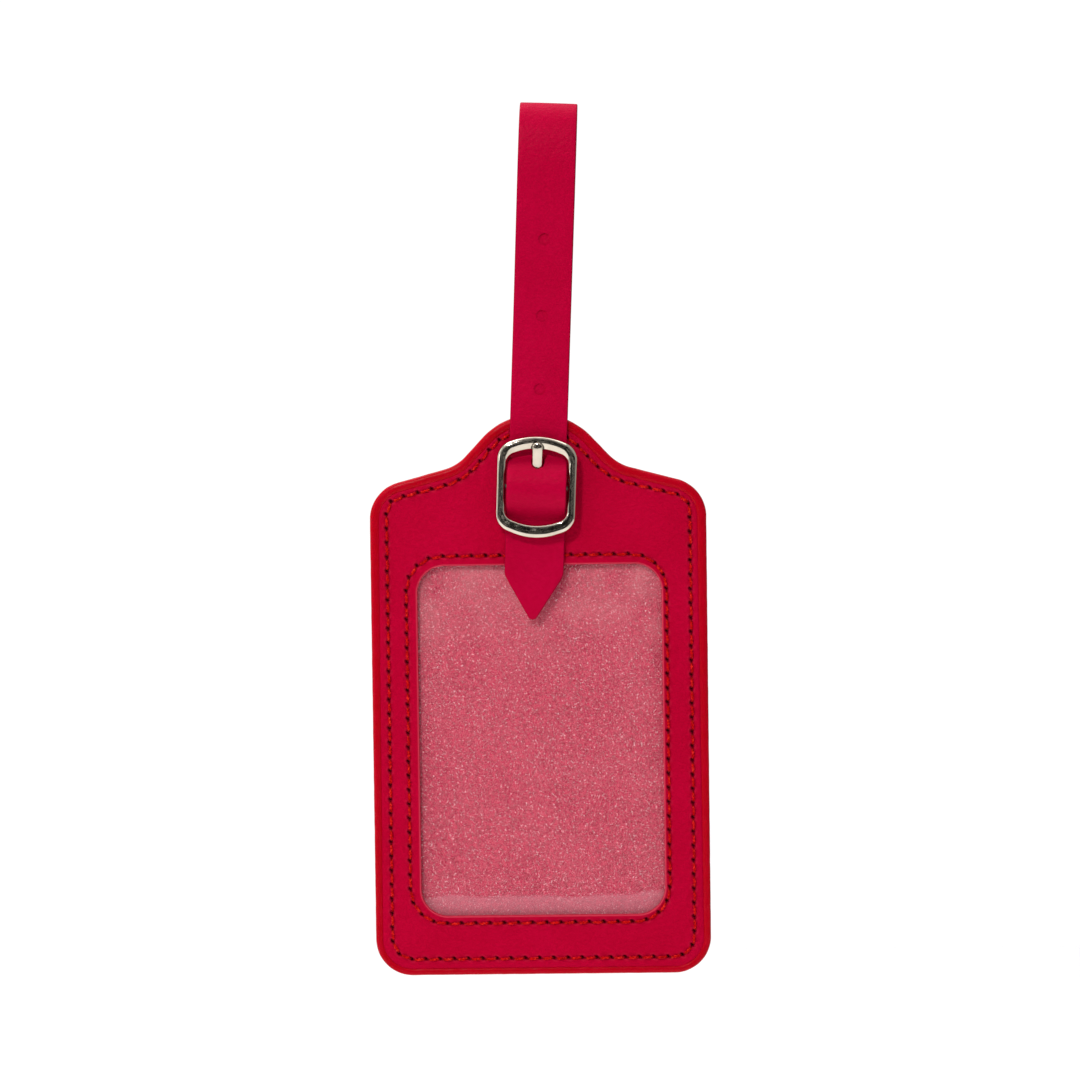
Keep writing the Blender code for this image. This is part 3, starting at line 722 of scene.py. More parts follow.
def fill(bm, loops):
    """Flat faces between closed loops of vertices."""
    edges = []
    for loop in loops:
        for i, vert in enumerate(loop):
            edges.append(bm.edges.get((vert, loop[i - 1])) or bm.edges.new((vert, loop[i - 1])))
    bmesh.ops.triangle_fill(bm, edges=edges, use_beauty=True)


def join(bm, near, far):
    for i, vert in enumerate(near):
        bm.faces.new((vert, near[i - 1], far[i - 1], far[i]))


def wall(bm, loop, y):
    """A straight wall from a loop to another depth. Returns the loop at its far side."""
    far = [bm.verts.new((vert.co.x, y, vert.co.z)) for vert in loop]
    join(bm, loop, far)
    return far


def rings(bm, loops, y):
    """Quads between neighbouring loops of (x, z) points. Returns the first and last vertices."""
    made = [[bm.verts.new((x, y, z)) for x, z in loop] for loop in loops]
    for near, far in zip(made, made[1:]):
        join(bm, near, far)
    return made[0], made[-1]


def panel(name, y_face, y_inner, seams, material, window=None):
    """A sheet of leather whose face has fine rings of points near its edges and seams."""
    bm = bmesh.new()
    counts = point_counts(BODY, 0.32)
    insets = [FACE_INSET, 1.15, *np.arange(1.3, ZONE_INSET, 0.17), ZONE_INSET]
    outer = [outline(inset_corners(BODY, inset), counts) for inset in insets]
    edge, flat_edge = rings(bm, outer, y_face)
    back_edge = wall(bm, edge, y_inner)
    slot_x, slot_z = SLOT_SIZE[0] / 2, SLOT_SIZE[1] / 2
    slot = rectangle((-slot_x, slot_x), (SLOT_Z - slot_z, SLOT_Z + slot_z), SLOT_RADIUS)
    slot = lean(at_depth(line_of(slot, 0.4), 0.0))
    slot_edge = [bm.verts.new((x, y_face, z)) for x, _, z in slot]
    flat_loops = [flat_edge, slot_edge]
    back_loops = [back_edge, wall(bm, slot_edge, y_inner)]
    if window:
        rim, zone = rectangle(*window), rectangle(*WINDOW_ZONE)
        counts = point_counts(zone, 0.32)
        rim, zone = outline(rim, counts), outline(zone, counts)
        shares = [0.0, 0.012, 0.03, 0.055, 0.09, *np.linspace(0.13, 1.0, 17)]
        window_rim, zone_edge = rings(bm, [rim + (zone - rim) * share for share in shares], y_face)
        flat_loops.append(zone_edge)
        back_loops.append(wall(bm, window_rim, y_inner))
    fill(bm, flat_loops)
    fill(bm, back_loops)
    mesh = bpy.data.meshes.new(name)
    bmesh.ops.scale(bm, vec=(MM, MM, MM), verts=bm.verts)
    bm.to_mesh(mesh)
    bm.free()
    obj = finish_mesh(name, mesh, material, 50)
    press_seams(obj, y_face, y_inner, seams, window)
    return obj


def press_seams(obj, y_face, y_inner, seams, window):
    """Sinks the face at its seams, edges and window rim, and marks for the material the painted shade in
    the needle slits, the pale raised fibres and the painted highlight along the window rim.
    """
    at = positions(obj)
    face = np.abs(at[:, 1] - y_face) < 1e-3
    x, z = at[face, 0], at[face, 2]
    sunk, painted_shade, fuzz_and_highlight = sew_relief(seams)(x, z)
    inside = distances(tree_of(line_of(BODY, 0.15)), x, z) - edge_width(z)
    sunk = sunk + EDGE_DIP * np.clip(1 - inside / EDGE_DIP_WIDTH, 0, 1) ** 2
    if window:
        off = distances(tree_of(line_of(rectangle(*window), 0.1)), x, z)
        # A pale line along the window rim: wear, and a painted highlight where light catches the cut rim.
        fuzz_and_highlight = fuzz_and_highlight + RIM_WEAR_AND_HIGHLIGHT * np.exp(-(((off - 0.16) / 0.12) ** 2))
        off = np.clip(off, 0, RIM_ROUND)
        sunk = sunk + RIM_ROUND - np.sqrt(RIM_ROUND**2 - (RIM_ROUND - off) ** 2)
    inwards = math.copysign(1.0, y_inner - y_face)
    at[face, 1] = y_face + inwards * sunk
    move_points(obj, at)
    for label, values in (("painted_shade", painted_shade), ("fuzz_and_highlight", fuzz_and_highlight)):
        everywhere = np.zeros(len(at))
        everywhere[face] = values
        float_attribute(obj, label, everywhere)


def mouth_cutter(material, margin, y_low):
    """What the pocket's open right side takes away from the back, past this margin."""
    corners = rectangle((MOUTH_X + margin, 60.0), (BODY_BOTTOM - 20, MOUTH_TOP), MOUTH_RADIUS)
    return prism(line_of(corners, 1.0), (y_low, BEHIND_Y), material)


def build_panels(hide):
    front = panel("front_leather", FACE_Y, FACE_INNER_Y, (OUTER_SEAM, INNER_SEAM), hide, WINDOW)
    place(front, "tag", "leather", "front_panel")
    back = panel("back_leather", BACK_Y, BACK_INNER_Y, (OUTER_SEAM,), hide)
    notch = prism(circle(*NOTCH_AT, NOTCH_RADIUS, 72), (0.0, BEHIND_Y), hide)
    back = cut_marked(back, [mouth_cutter(hide, 0.0, 0.0), notch])
    place(back, "tag", "leather", "back_panel")


def cut_marked(obj, cutters):
    """Cuts a panel and gives each point the marks that the nearest point had before the cut."""
    before, marks = tree_of(positions(obj)), {}
    for label in ("painted_shade", "fuzz_and_highlight"):
        marks[label] = np.empty(len(obj.data.vertices), np.float32)
        obj.data.attributes[label].data.foreach_get("value", marks[label])
    obj = boolean(obj, cutters)
    nearest = [before.find(point)[1] for point in positions(obj)]
    for label, values in marks.items():
        if label in obj.data.attributes:
            obj.data.attributes.remove(obj.data.attributes[label])
        float_attribute(obj, label, values[nearest])
    return obj


def place(obj, body, slot, *nodes):
    """Rides a piece on its body, in place of the CAD nodes it stands for."""
    if nodes:
        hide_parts(*nodes)
    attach(obj, body)


def build_edge(paint):
    """The painted bead: round in section, a little wavy, with a crease against the leather."""
    step = 0.45
    counts = point_counts(BODY, step)
    # Shares of the bead's width from the outside in, with the drop there from the leather's face
    share_drop = [(1.12, 0.55), (1.06, 0.24), (0.98, 0.10), (0.86, 0.0), (0.7, -0.07), (0.5, -0.09)]
    share_drop += [(0.3, -0.03), (0.14, 0.14), (0.04, 0.40), (0.0, 0.75), (-0.015, 1.25)]
    profile = [(share, -BACK_Y + drop) for share, drop in share_drop]
    profile += [(share, BACK_Y - drop) for share, drop in reversed(share_drop)]
    rng = np.random.default_rng(7)
    outer = outline(BODY, counts)
    width = edge_width(outer[:, 1])
    phase = np.cumsum(np.full(len(outer), step))
    wave = sum(
        rng.uniform(0.5, 1.0) * np.sin(phase * math.tau / period + rng.uniform(0, math.tau))
        for period in (3.1, 4.7, 7.9, 13.0)
    )
    loops = []
    inwards = outline(inset_corners(BODY, 1.0), counts) - outer
    for share, y in profile:
        swell = 0.018 * wave * (1 - abs(share - 0.5))
        ring = outer + ((share * width)[:, None] * inwards + (swell[:, None] * inwards))
        loops.append(at_depth(ring, y + math.copysign(0.012, y) * wave))
    faces = grid_faces(len(loops), len(outer), closed_rows=True)
    bead = mesh_object("edge_bead", np.vstack(loops), faces, paint)
    bead = boolean(bead, [mouth_cutter(paint, 0.2, FRONT_Y_OF_MOUTH)], 50)
    place(bead, "tag", "edge_paint", "edge_coat")


def mouth_line():
    """The back's open edge: in from the right shoulder, down the pocket's mouth, round the notch."""
    corner = np.array((MOUTH_X + MOUTH_RADIUS, MOUTH_TOP))
    line = [(HALF_WIDTH - 1.2, MOUTH_TOP), tuple(corner)]
    for k in range(1, 9):
        a = math.pi / 2 * k / 8
        line.append((corner[0] - MOUTH_RADIUS * math.sin(a), MOUTH_TOP - MOUTH_RADIUS * (1 - math.cos(a))))
    half = math.acos((NOTCH_AT[0] - MOUTH_X) / NOTCH_RADIUS)
    for k in range(25):
        a = math.pi - half + 2 * half * k / 24
        line.append((NOTCH_AT[0] + NOTCH_RADIUS * math.cos(a), NOTCH_AT[1] + NOTCH_RADIUS * math.sin(a)))
    line.append((MOUTH_X, BODY_BOTTOM + 1.2))
    return np.array(line)


def build_mouth_edge(paint):
    """A thin coat of paint along the back's open edge."""
    spots, way = evenly(mouth_line(), 0.5, closed=False)
    middle, half = (LINING_Y + BACK_Y) / 2, (BACK_Y - LINING_Y) / 2
    turns = np.linspace(0, math.pi, 9)
    section = [(0.22 * math.sin(a) - 0.02, -half * math.cos(a) * 1.03) for a in turns] + [(-0.12, 0.0)]
    loops = []
    for out, across in section:
        loops.append(at_depth(spots + left_of(way) * out, middle + across))
    count, around = len(spots), len(section)
    faces = grid_faces(around, count, closed_rows=True, closed_columns=False)
    faces += [tuple(r * count for r in range(around)), tuple(r * count + count - 1 for r in range(around))]
    place(mesh_object("mouth_edge", np.vstack(loops), faces, paint), "tag", "edge_paint")


def ply(start, end, face_y, outwards, crest, phase):
    """One strand of a stitch: rings of points on a twist that rises from one hole to the next."""
    t = np.linspace(0, 1, PLY_RINGS)
    along = end - start
    rise = np.clip(np.sin(math.pi * t), 0, 1) ** 0.55
    height = -STITCH_DIVE + (STITCH_DIVE + crest) * rise
    middle = start + along * (0.06 + 0.88 * t)[:, None]
    centre = at_depth(middle, face_y + outwards * height)
    side = np.array((-along[1], 0.0, along[0])) / np.linalg.norm(along)
    up = np.array((0.0, outwards, 0.0))
    twist = phase + t * math.tau * TWISTS
    pinch = 0.62 + 0.38 * rise
    strand = centre + (PLY_OFFSET * pinch)[:, None] * (
        np.cos(twist)[:, None] * side + np.sin(twist)[:, None] * up * 0.8
    )
    spin = np.arange(PLY_SIDES) * math.tau / PLY_SIDES
    ring = np.cos(spin)[:, None] * side + np.sin(spin)[:, None] * up
    points = strand[:, None, :] + (PLY_RADIUS * pinch)[:, None, None] * ring[None]
    return points.reshape(-1, 3), np.repeat(1 - rise, PLY_SIDES)


def two_plies(points, faces, start, end, face_y, outwards, crest, phase):
    """Adds a stitch's two strands to the points and faces. Returns how deep each point dives."""
    dives = []
    for turn in (0.0, math.pi):
        spots, dive = ply(start, end, face_y, outwards, crest, phase + turn)
        faces += tube_faces(PLY_RINGS, PLY_SIDES, sum(map(len, points)))
        points.append(spots)
        dives.append(dive)
    return dives


def stitches(name, material, corners, face_y, outwards, keep=None, crest=0.2):
    """A row of twisted two-ply stitches between a seam's needle holes."""
    holes, way = seam_holes(corners)
    leave, arrive = needle_spots(holes, way)
    points, faces, dark = [], [], []
    rng = np.random.default_rng(3)
    for i in range(len(holes)):
        start, end = leave[i], arrive[(i + 1) % len(holes)]
        phase, lift = rng.uniform(0, math.tau), crest * rng.uniform(0.85, 1.15)
        if keep and not (keep(*start) and keep(*end)):
            continue
        dark += two_plies(points, faces, start, end, face_y, outwards, lift, phase)
    obj = mesh_object(name, np.vstack(points), faces, material)
    # Painted shade on the thread where it dives into the holes.
    float_attribute(obj, "painted_shade", np.clip(np.concatenate(dark) * 1.8 - 0.25, 0, 1))
    return obj


def build_stitches(thread):
    """Both seams' face stitches, and the outer seam's other side where it shows."""

    def off_the_mouth(x, z):
        return x < MOUTH_X - 0.8 or z > MOUTH_TOP + 0.8

    def in_the_mouth(x, z):
        return x > MOUTH_X + 0.6 and z < MOUTH_TOP - 1.5

    for name, stands_for, *seam in (
        ("outer_stitches", "outer_seam_needle_thread", OUTER_SEAM, FACE_Y, -1),
        ("window_stitches", "window_seam_needle_thread", INNER_SEAM, FACE_Y, -1),
        ("back_stitches", "outer_seam_bobbin_thread", OUTER_SEAM, BACK_Y, 1, off_the_mouth),
        ("mouth_stitches", "mouth_seam_bobbin_thread", OUTER_SEAM, FILM_Y[1], 1, in_the_mouth, 0.05),
    ):
        place(stitches(name, thread, *seam), "tag", "thread", stands_for)


def build_film(material):
    """The window's plastic sheet, very slightly rippled between its seams."""
    (x0, x1), (z0, z1), _ = WINDOW_ZONE
    rows, columns = 85, 61
    grid_x, grid_z = np.meshgrid(np.linspace(x0, x1, columns), np.linspace(z0, z1, rows))
    waves = np.sin(grid_x / 9.0 + 0.7 * np.sin(grid_z / 17.0)) + np.sin(grid_z / 11.0 + grid_x / 23.0)
    ripple = FILM_RIPPLE * waves
    held = np.sin(math.pi * (grid_x - x0) / (x1 - x0)) * np.sin(math.pi * (grid_z - z0) / (z1 - z0))
    layers = [np.stack([grid_x, y + ripple * held, grid_z], axis=-1).reshape(-1, 3) for y in FILM_Y]
    count = rows * columns
    faces = grid_faces(rows, columns, closed_columns=False)
    faces += [tuple(reversed([v + count for v in face])) for face in faces]
    border = list(range(columns))
    border += [r * columns + columns - 1 for r in range(1, rows)]
    border += [(rows - 1) * columns + c for c in range(columns - 2, -1, -1)]
    border += [r * columns for r in range(rows - 2, 0, -1)]
    for i, vert in enumerate(border):
        faces.append((vert, border[i - 1], border[i - 1] + count, vert + count))
    place(mesh_object("film", np.vstack(layers), faces, material, 40), "tag", "clear_film", "window_film")


# The strap


def section(half_w, half_t, radius, crown, across=14):
    """A band's cross-section: flat faces with a little crown, and round edges."""
    radius = min(radius, half_t * 0.95, half_w * 0.9)
    flat = np.linspace(-1, 1, across)
    top = [(x * (half_w - radius), half_t + crown * (1 - x * x) * min(1, half_w)) for x in flat]
    edge = []
    for k in range(1, 4):
        a = math.pi / 2 * k / 4
        edge.append((half_w - radius + radius * math.sin(a), half_t - radius + radius * math.cos(a)))
    right = edge + [(half_w, half_t * 0.3), (half_w, -half_t * 0.3)] + [(x, -n) for x, n in reversed(edge)]
    bottom = [(-x, -n) for x, n in top]
    left = [(-x, -n) for x, n in right]
    return np.array(top + right + bottom + left)


def band(name, rows, material, radius=STRAP_ROUND, crown=STRAP_CROWN):
    """A flat band swept along (y, z, thickness, width) rows, in the strap's frame."""
    way = np.gradient(rows[:, :2], axis=0)
    way /= np.linalg.norm(way, axis=1, keepdims=True)
    points = []
    for (y, z, thickness, width), (dy, dz) in zip(rows, way):
        ring = section(width / 2, thickness / 2, radius, crown)
        points += [(x, y - n * dz, z + n * dy) for x, n in ring]
    return mesh_object(name, lean(points), tube_faces(len(rows), len(ring)), material, 60)


def full_rows(*points):
    """Rows of the strap's full thickness and width."""
    return [(y, z, STRAP_T, STRAP_WIDTH) for y, z in points]


def turned(y, z, radius, start, end, thickness, steps):
    """Rows round a centre. Angle 0 points up and 90 degrees points out of the front."""
    angles = np.radians(np.linspace(start, end, steps + 1))
    return [(y - radius * math.sin(a), z + radius * math.cos(a), thickness, STRAP_WIDTH) for a in angles]


def strap_rows():
    """The tail, the fold round the bar, the slot, the back run, the loop and the front run."""
    bend = 1.0
    fold_y, out_y = BAR_Y + FOLD_RADIUS, -2.25
    rise = out_y - fold_y
    tail = [(-4.75, -82.4), (-4.95, -81.9), (-5.4, -81.2), (-5.8, -80.2)]
    rows = [(y, z, SKIVED_T, STRAP_WIDTH) for y, z in tail]
    rows += turned(BAR_Y, BAR_AT, FOLD_RADIUS, 90, -90, SKIVED_T, 10)
    rows += [(fold_y, -81.5, SKIVED_T, STRAP_WIDTH)]
    rows += turned(out_y, SLOT_Z + rise, rise, 90, 180, 0.8, 5)
    rows += [(0.0, SLOT_Z, 0.9, STRAP_WIDTH)]
    rows += turned(STRAP_BACK_Y - bend, SLOT_Z + bend, bend, 180, 270, STRAP_T, 5)
    rows += full_rows((STRAP_BACK_Y, -78.0), (STRAP_BACK_Y, -66.0), (STRAP_BACK_Y, -55.0))
    rows += full_rows(*((-y, z) for y, z in LOOP_LINE), (0.0, STRAP_T / 2), *reversed(LOOP_LINE))
    rows += full_rows((STRAP_Y, -55.0), (STRAP_Y, -62.0), (STRAP_Y, -68.0))
    rows += [(STRAP_Y, HIDDEN_END, 0.9, STRAP_WIDTH - 0.2)]
    return catmull_rom(rows, 0.6)


def end_half_width(z):
    """Half the free end's width: full to the shoulders, then straight in to a rounded point."""
    if z < TIP_CENTRE - TIP_RADIUS * math.sin(TIP_TAPER):
        return math.sqrt(max(TIP_RADIUS**2 - (z - TIP_CENTRE) ** 2, 1e-4))
    straight = (z - TIP_CORNER) * math.tan(TIP_TAPER)
    over = straight - END_WIDTH / 2
    return END_WIDTH / 2 + min(over, 0.0) - 0.5 * (math.hypot(over, 0.3) - abs(over))


def strap_end_rows():
    """From under the buckle's top bar, over the bar, under the bottom bar and to the point."""
    over_bar = [(STRAP_Y - up, z) for up, z in RUN_LINE]
    to_tip = [(STRAP_Y, z) for z in (-92.0, TIP_SHOULDER, TIP_POINT)]
    rows = catmull_rom(full_rows((STRAP_Y, END_START), *over_bar, *to_tip), 0.3)
    for row in rows:
        waist = WAIST * math.exp(-(((row[1] - WAIST_AT) / WAIST_SPREAD) ** 2))
        row[3] = 2 * end_half_width(row[1]) - waist
        from_point = min(1.0, max(row[1] - TIP_POINT, 0) / 1.2)
        row[2] = STRAP_T * min(1.0, 0.55 + 0.45 * math.sqrt(from_point))
    return rows


def rod_cutter(x, z, radius, y_range, material, stretch=1.0):
    """A round cutter in the strap's frame, stretched along the strap."""
    spots = circle(x, z, radius)
    spots[:, 1] = z + (spots[:, 1] - z) * stretch
    return leaning_prism(spots, y_range, material)


def mark_cut_edges(obj, places):
    """Marks a band's cut sides with darker painted shade; places are rows of (z, half the width there)."""
    at = positions(obj)
    across = (at[:, 0] - SWING_X) * math.cos(LEAN) - (at[:, 2] - SWING_Z) * math.sin(LEAN)
    half = np.interp(at[:, 2], places[:, 0], places[:, 1])
    painted_shade = np.clip(1 - (half - np.abs(across)) / CUT_EDGE, 0, 1) * CUT_SHADE
    float_attribute(obj, "painted_shade", painted_shade)
    float_attribute(obj, "fuzz_and_highlight", np.zeros(len(at)))


def build_strap(hide):
    """The strap with its half-punched holes and the tongue's slot in the fold."""
    strap = band("strap", strap_rows(), hide)
    cutters = []
    front = np.array([(STRAP_Y, -68.0), (STRAP_Y, -55.0), *LOOP_LINE])
    for z in HOLES:
        face = np.interp(z, front[:, 1], front[:, 0]) - STRAP_T / 2 - STRAP_CROWN
        cutters.append(rod_cutter(0, z, HOLE_RADIUS, (face - 2.0, face + HOLE_DEPTH), hide))
    slit = [(-1.6, -81.0), (1.6, -81.0), (1.6, -77.0), (-1.6, -77.0)]
    cutters.append(leaning_prism(slit, (-7.0, -2.6), hide))
    strap = boolean(strap, cutters, 40)
    wide = np.array([(-200.0, STRAP_WIDTH / 2), (50.0, STRAP_WIDTH / 2)])
    mark_cut_edges(strap, wide)
    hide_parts("strap_loop", "strap_fixed_end")
    low, high = lean([(0, 0, -62.0), (0, 0, -48.0)]) * MM
    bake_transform(strap)


def build_strap_end(hide):
    """The free end, with the hole that the tongue goes through."""
    rows = strap_end_rows()
    end = band("strap_end", rows, hide)
    end = boolean(end, [rod_cutter(0.1, BUCKLED_HOLE, 1.4, (-9.0, -2.2), hide, 1.1)], 40)
    places = lean(np.column_stack([np.zeros(len(rows)), rows[:, 0], rows[:, 1]]))[:, 2]
    order = np.argsort(places)
    mark_cut_edges(end, np.column_stack([places[order], rows[order, 3] / 2]))
    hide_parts("strap_front_run", "strap_tip")
    low, high = lean([(0, STRAP_Y, TIP_HINGE - 2.4), (0, STRAP_Y, TIP_HINGE + 2.0)]) * MM
    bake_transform(end)


def build_fold_stitches(thread):
    """Three short stitches that hold the folded tail, hidden under the strap's free run."""
    points, faces = [], []
    for x in (-3.6, -1.2, 1.2):
        start, end = np.array((x, -81.3)), np.array((x + 2.2, -81.3))
        two_plies(points, faces, start, end, -5.8, -1, 0.02, 0.0)
    obj = mesh_object("fold_stitches", lean(np.vstack(points)), faces, thread)
    place(obj, "tag", "thread", "fold_stitching")


# The buckle


def frame_corners(size, bow_radius, corner_radius):
    """A rectangle with bowed top and bottom, centred on the bar."""
    half_w, half_h = size[0] / 2, size[1] / 2
    apex = half_h + bow_radius * (1 / math.cos(FRAME_BOW) - 1)
    side = apex - half_w * math.tan(FRAME_BOW)
    right = [(half_w, -side, corner_radius), (half_w, side, corner_radius)]
    left = [(-half_w, side, corner_radius), (-half_w, -side, corner_radius)]
    corners = [(0.0, apex, bow_radius), *left, (0.0, -apex, bow_radius), *right]
    return [(x, BAR_AT + z, radius) for x, z, radius in corners]


def build_frame(metal):
    """The buckle's frame: domed outside, with a wide bevel inside, and a rest for the tongue."""
    outer = frame_corners(FRAME_OUTER, OUTER_BOW, OUTER_CORNER)
    inner = frame_corners(FRAME_INNER, INNER_BOW, INNER_CORNER)
    counts = point_counts(outer, 0.22)
    outer, inner = outline(outer, counts), outline(inner, counts)
    # The section: shares of the way from inside to outside, and of the way from back to front
    shape = [(0.0, 0.3), (0.04, 0.16), (0.16, 0.06), (0.5, 0.05), (0.84, 0.06), (0.97, 0.14)]
    shape += [(1.0, 0.28), (1.005, 0.5), (0.975, 0.72), (0.90, 0.88), (0.78, 0.965), (0.64, 1.0)]
    shape += [(0.52, 0.995), (0.38, 0.955), (0.22, 0.88), (0.09, 0.79), (0.02, 0.68), (0.0, 0.5)]
    shape = catmull_rom([*shape, shape[0]], 0.035)[:-1]
    depth = FRAME_Y[0] - FRAME_Y[1]
    way = outer - inner
    top_share = np.clip(way[:, 1] / np.linalg.norm(way, axis=1), 0, 1) ** 2
    loops = []
    for share, height in shape:
        ring = inner + share * way
        steep = FRAME_FULLNESS * max(0.0, 0.5 - share) * max(0.0, height - 0.5)
        y = FRAME_Y[1] + depth * np.minimum(height + steep * (1 - top_share), 1.0)
        loops.append(at_depth(ring, y))
    faces = grid_faces(len(loops), len(outer), closed_rows=True)
    obj = mesh_object("buckle_frame_polished", lean(np.vstack(loops)), faces, metal)
    half, low = REST_HALF_WIDTH, BAR_AT + REST_LOW
    round_z = BAR_AT + REST_TOP - half
    rest = [(-half, low), (half, low), (half, round_z)]
    rest += [(half * math.cos(a), round_z + half * math.sin(a)) for a in np.linspace(0.15, 3.0, 18)]
    rest += [(-half, round_z)]
    cutter = leaning_prism(rest, (FRAME_Y[0] - 2.0, FRAME_Y[0] + REST_DEPTH), metal)
    place(boolean(obj, [cutter], 40), "buckle", "nickel", "buckle_frame")


def build_bar(metal):
    """The bar, with its ends in the frame's side limbs."""
    reach, shoulder = FRAME_OUTER[0] / 2 - 0.1, FRAME_INNER[0] / 2 - 0.2
    profile = [(-reach, 0.1), (-reach, 0.36), (-reach + BAR_BEVEL, PIN_RADIUS), (-shoulder, PIN_RADIUS)]
    profile += [(-shoulder, BAR_END_RADIUS), (-shoulder + BAR_BEVEL, BAR_RADIUS), (0.0, BAR_RADIUS)]
    profile += [(-x, radius) for x, radius in reversed(profile[:-1])]
    points = []
    for x, radius in profile:
        points += [(x, y, z) for y, z in circle(BAR_Y, BAR_AT, radius, BAR_SIDES)]
    faces = tube_faces(len(profile), BAR_SIDES)
    obj = mesh_object("buckle_bar_polished", lean(points), faces, metal, 40)
    place(obj, "buckle", "nickel", "buckle_bar")


def build_tongue(metal):
    """The tongue: a hook round the bar and a flat-topped shaft with a round end on its rest."""
    line = [row[:2] for row in turned(BAR_Y, BAR_AT, HOOK_RADIUS, 330, 45, TONGUE_T, 21)]
    shaft = [(3.15, -77.8), (2.9, -76.8), (2.85, -75.6), (3.05, -74.3), (3.6, -72.6), (4.0, -71.3)]
    line += [(FACE_Y - up, z) for up, z in (*shaft, (4.12, -70.4), (4.12, -69.95))]
    rows = catmull_rom([(y, z, TONGUE_T, TONGUE_WIDTH) for y, z in line], 0.12)
    end = rows[-1, 1]
    for row in rows:
        left = min(1.0, max(0.0, (end - row[1]) / TONGUE_ROUND)) if row[1] > -72 else 1.0
        share = math.sqrt(max(1 - (1 - left) ** 2, 0.02))
        row[3] = TONGUE_WIDTH * share
        row[2] = TONGUE_T * (0.75 + 0.25 * share)
    obj = band("buckle_tongue_polished", rows, metal, 0.36, 0.14)
    place(obj, "tongue", "nickel", "buckle_tongue")


def finish_inside(thread):
    """New materials on the CAD parts that stay: the card, the board, the lining and hidden thread."""
    kept = {
        "insert_card": card_material(),
        "stiffener_board": matt_board("board", srgb(132, 30, 40), srgb(156, 52, 60)),
        "back_lining": matt_board("lining", srgb(168, 60, 82), srgb(190, 88, 104), 0.5),
        "window_seam_bobbin_thread": thread,
    }
    for name, material in kept.items():
        slots = frame["nodes"][name].data.materials
        slots.clear()
        slots.append(material)


# The studio


def area_light(name, at, target, size, power):
    data = bpy.data.lights.new(name, "AREA")
    data.shape, data.size, data.size_y = "RECTANGLE", size[0], size[1]
    data.energy = power
    obj = add_object(name, data)
    obj.location = at
    obj.rotation_euler = (Vector(target) - Vector(at)).to_track_quat("-Z", "Y").to_euler()


def build_world():
    """White to the camera; for light a room dark in front but for glints, bright up to the left."""
    world = bpy.data.worlds.new("studio")
    bpy.context.scene.world = world
    world.use_nodes = True
    tree = world.node_tree
    tree.nodes.clear()
    at = node("TexCoord", {}, tree).outputs["Generated"]
    parts = node("SeparateXYZ", {0: at}).outputs
    upper_left = maths("SUBTRACT", parts["Z"], parts["X"])
    side = spread(upper_left, -1.2, 1.2, 0.34, 0.70)
    glint = spread(noise(at, 90, 3, 0.6), 0.56, 0.6, 0.02, 1.0)
    front = maths("MAXIMUM", spread(parts["Y"], -0.80, -0.66), glint)
    level = maths("MULTIPLY", front, side)
    room = node("Background", {"Color": (1, 1, 1, 1), "Strength": level})
    white = node("Background", {"Color": (1, 1, 1, 1), "Strength": 1.05}, tree)
    seen = node("LightPath", {}, tree).outputs["Is Camera Ray"]
    both = node("MixShader", {0: seen, 1: room.outputs[0], 2: white.outputs[0]})
    node("OutputWorld", {"Surface": both.outputs[0]})


def build_floor():
    mat, tree, shader = new_material("floor", Roughness=0.9, Specular_IOR_Level=0.1)
    cloud = noise(coordinates(tree), 400, 2)
    tone = mixed(cloud, (0.94, 0.94, 0.94, 1), (0.97, 0.97, 0.97, 1))
    coat(shader, tone)
    half, height = 650.0, BODY_BOTTOM - 110.0
    square = [(-half, -half, height), (half, -half, height), (half, half, height), (-half, half, height)]
    floor = mesh_object("floor", square, [(0, 1, 2, 3)], mat)


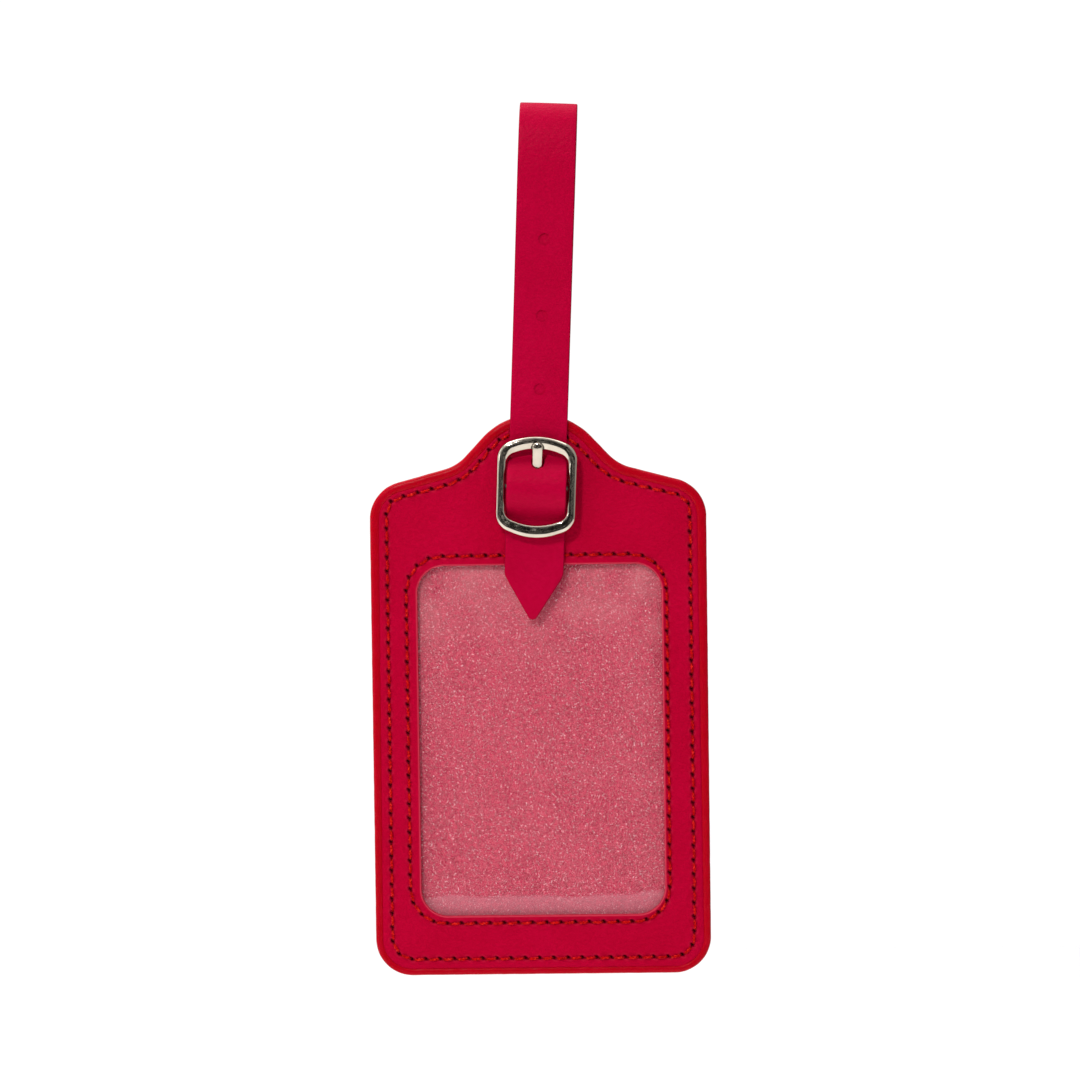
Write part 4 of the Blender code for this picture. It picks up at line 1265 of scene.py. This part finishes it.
def build_lights():
    middle = (0.0, 0.0, -0.1)
    area_light("key", (-0.16, -0.50, 0.24), middle, (0.05, 0.05), 1.42)
    area_light("left_strip", (-1.1, 0.1, 0.1), middle, (0.3, 1.2), 2.0)
    area_light("left_fill", (-0.24, -0.22, -0.02), (-0.02, 0.0, -0.10), (0.05, 0.08), 0.05)
    area_light("top_strip", (-0.45, 0.18, 0.85), middle, (1.0, 0.4), 4.0)
    area_light("floor_wash", (0.0, 0.2, 1.6), (0.0, 0.2, -0.3), (1.6, 1.6), 14.0)


def build_camera():
    """A long lens a little above the tag, aimed at the middle of its hanging length."""
    data = bpy.data.cameras.new("camera")
    data.lens, data.sensor_width = 95.0, 36.0
    data.clip_start, data.clip_end = 0.01, 20.0
    seen_width = 0.2268
    distance = seen_width * data.lens / data.sensor_width
    target = Vector((0.36, 0.0, -90.35)) * MM
    rise, aside, roll = math.radians(1.8), math.radians(1.0), math.radians(0.76)
    back = Vector((math.sin(aside) * math.cos(rise), -math.cos(aside) * math.cos(rise), math.sin(rise)))
    look = (-back).to_track_quat("-Z", "Y").to_matrix().to_4x4()
    turn = Matrix.Rotation(-roll, 4, "Z")
    camera = add_object("camera", data)
    camera.matrix_world = Matrix.Translation(target + back * distance) @ look @ turn
    bpy.context.scene.camera = camera


def main():
    tones = srgb(188, 1, 48), srgb(176, 0, 40), srgb(196, 2, 54)
    hide = leather("leather", *tones, gloss=0.018, roughness=0.5, relief=0.13)
    tones = srgb(186, 1, 52), srgb(174, 0, 45), srgb(196, 3, 60)
    strap_hide = leather("strap_leather", *tones, gloss=0.028, roughness=0.36, relief=0.07)
    paint, thread = edge_paint(), thread_material()
    metal = plated("nickel", srgb(198, 186, 170), srgb(216, 206, 190), 0.05)
    # The bar's metal is a darker copy of the plating: painted shade for the bar's ends, which lie in shade
    # beside the strap.
    shaded_bar_metal = plated("bar_metal_painted_shade", srgb(120, 112, 106), srgb(140, 132, 126), 0.3)
    build_panels(hide)
    build_edge(paint)
    build_mouth_edge(paint)
    build_stitches(thread)
    build_film(film_material())
    build_strap(strap_hide)
    build_strap_end(strap_hide)
    build_fold_stitches(thread)
    build_frame(metal)
    build_bar(shaded_bar_metal)
    build_tongue(metal)
    finish_inside(thread)
    build_world()
    build_floor()
    build_lights()
    build_camera()
    bpy.context.scene.view_settings.view_transform = "Standard"


main()
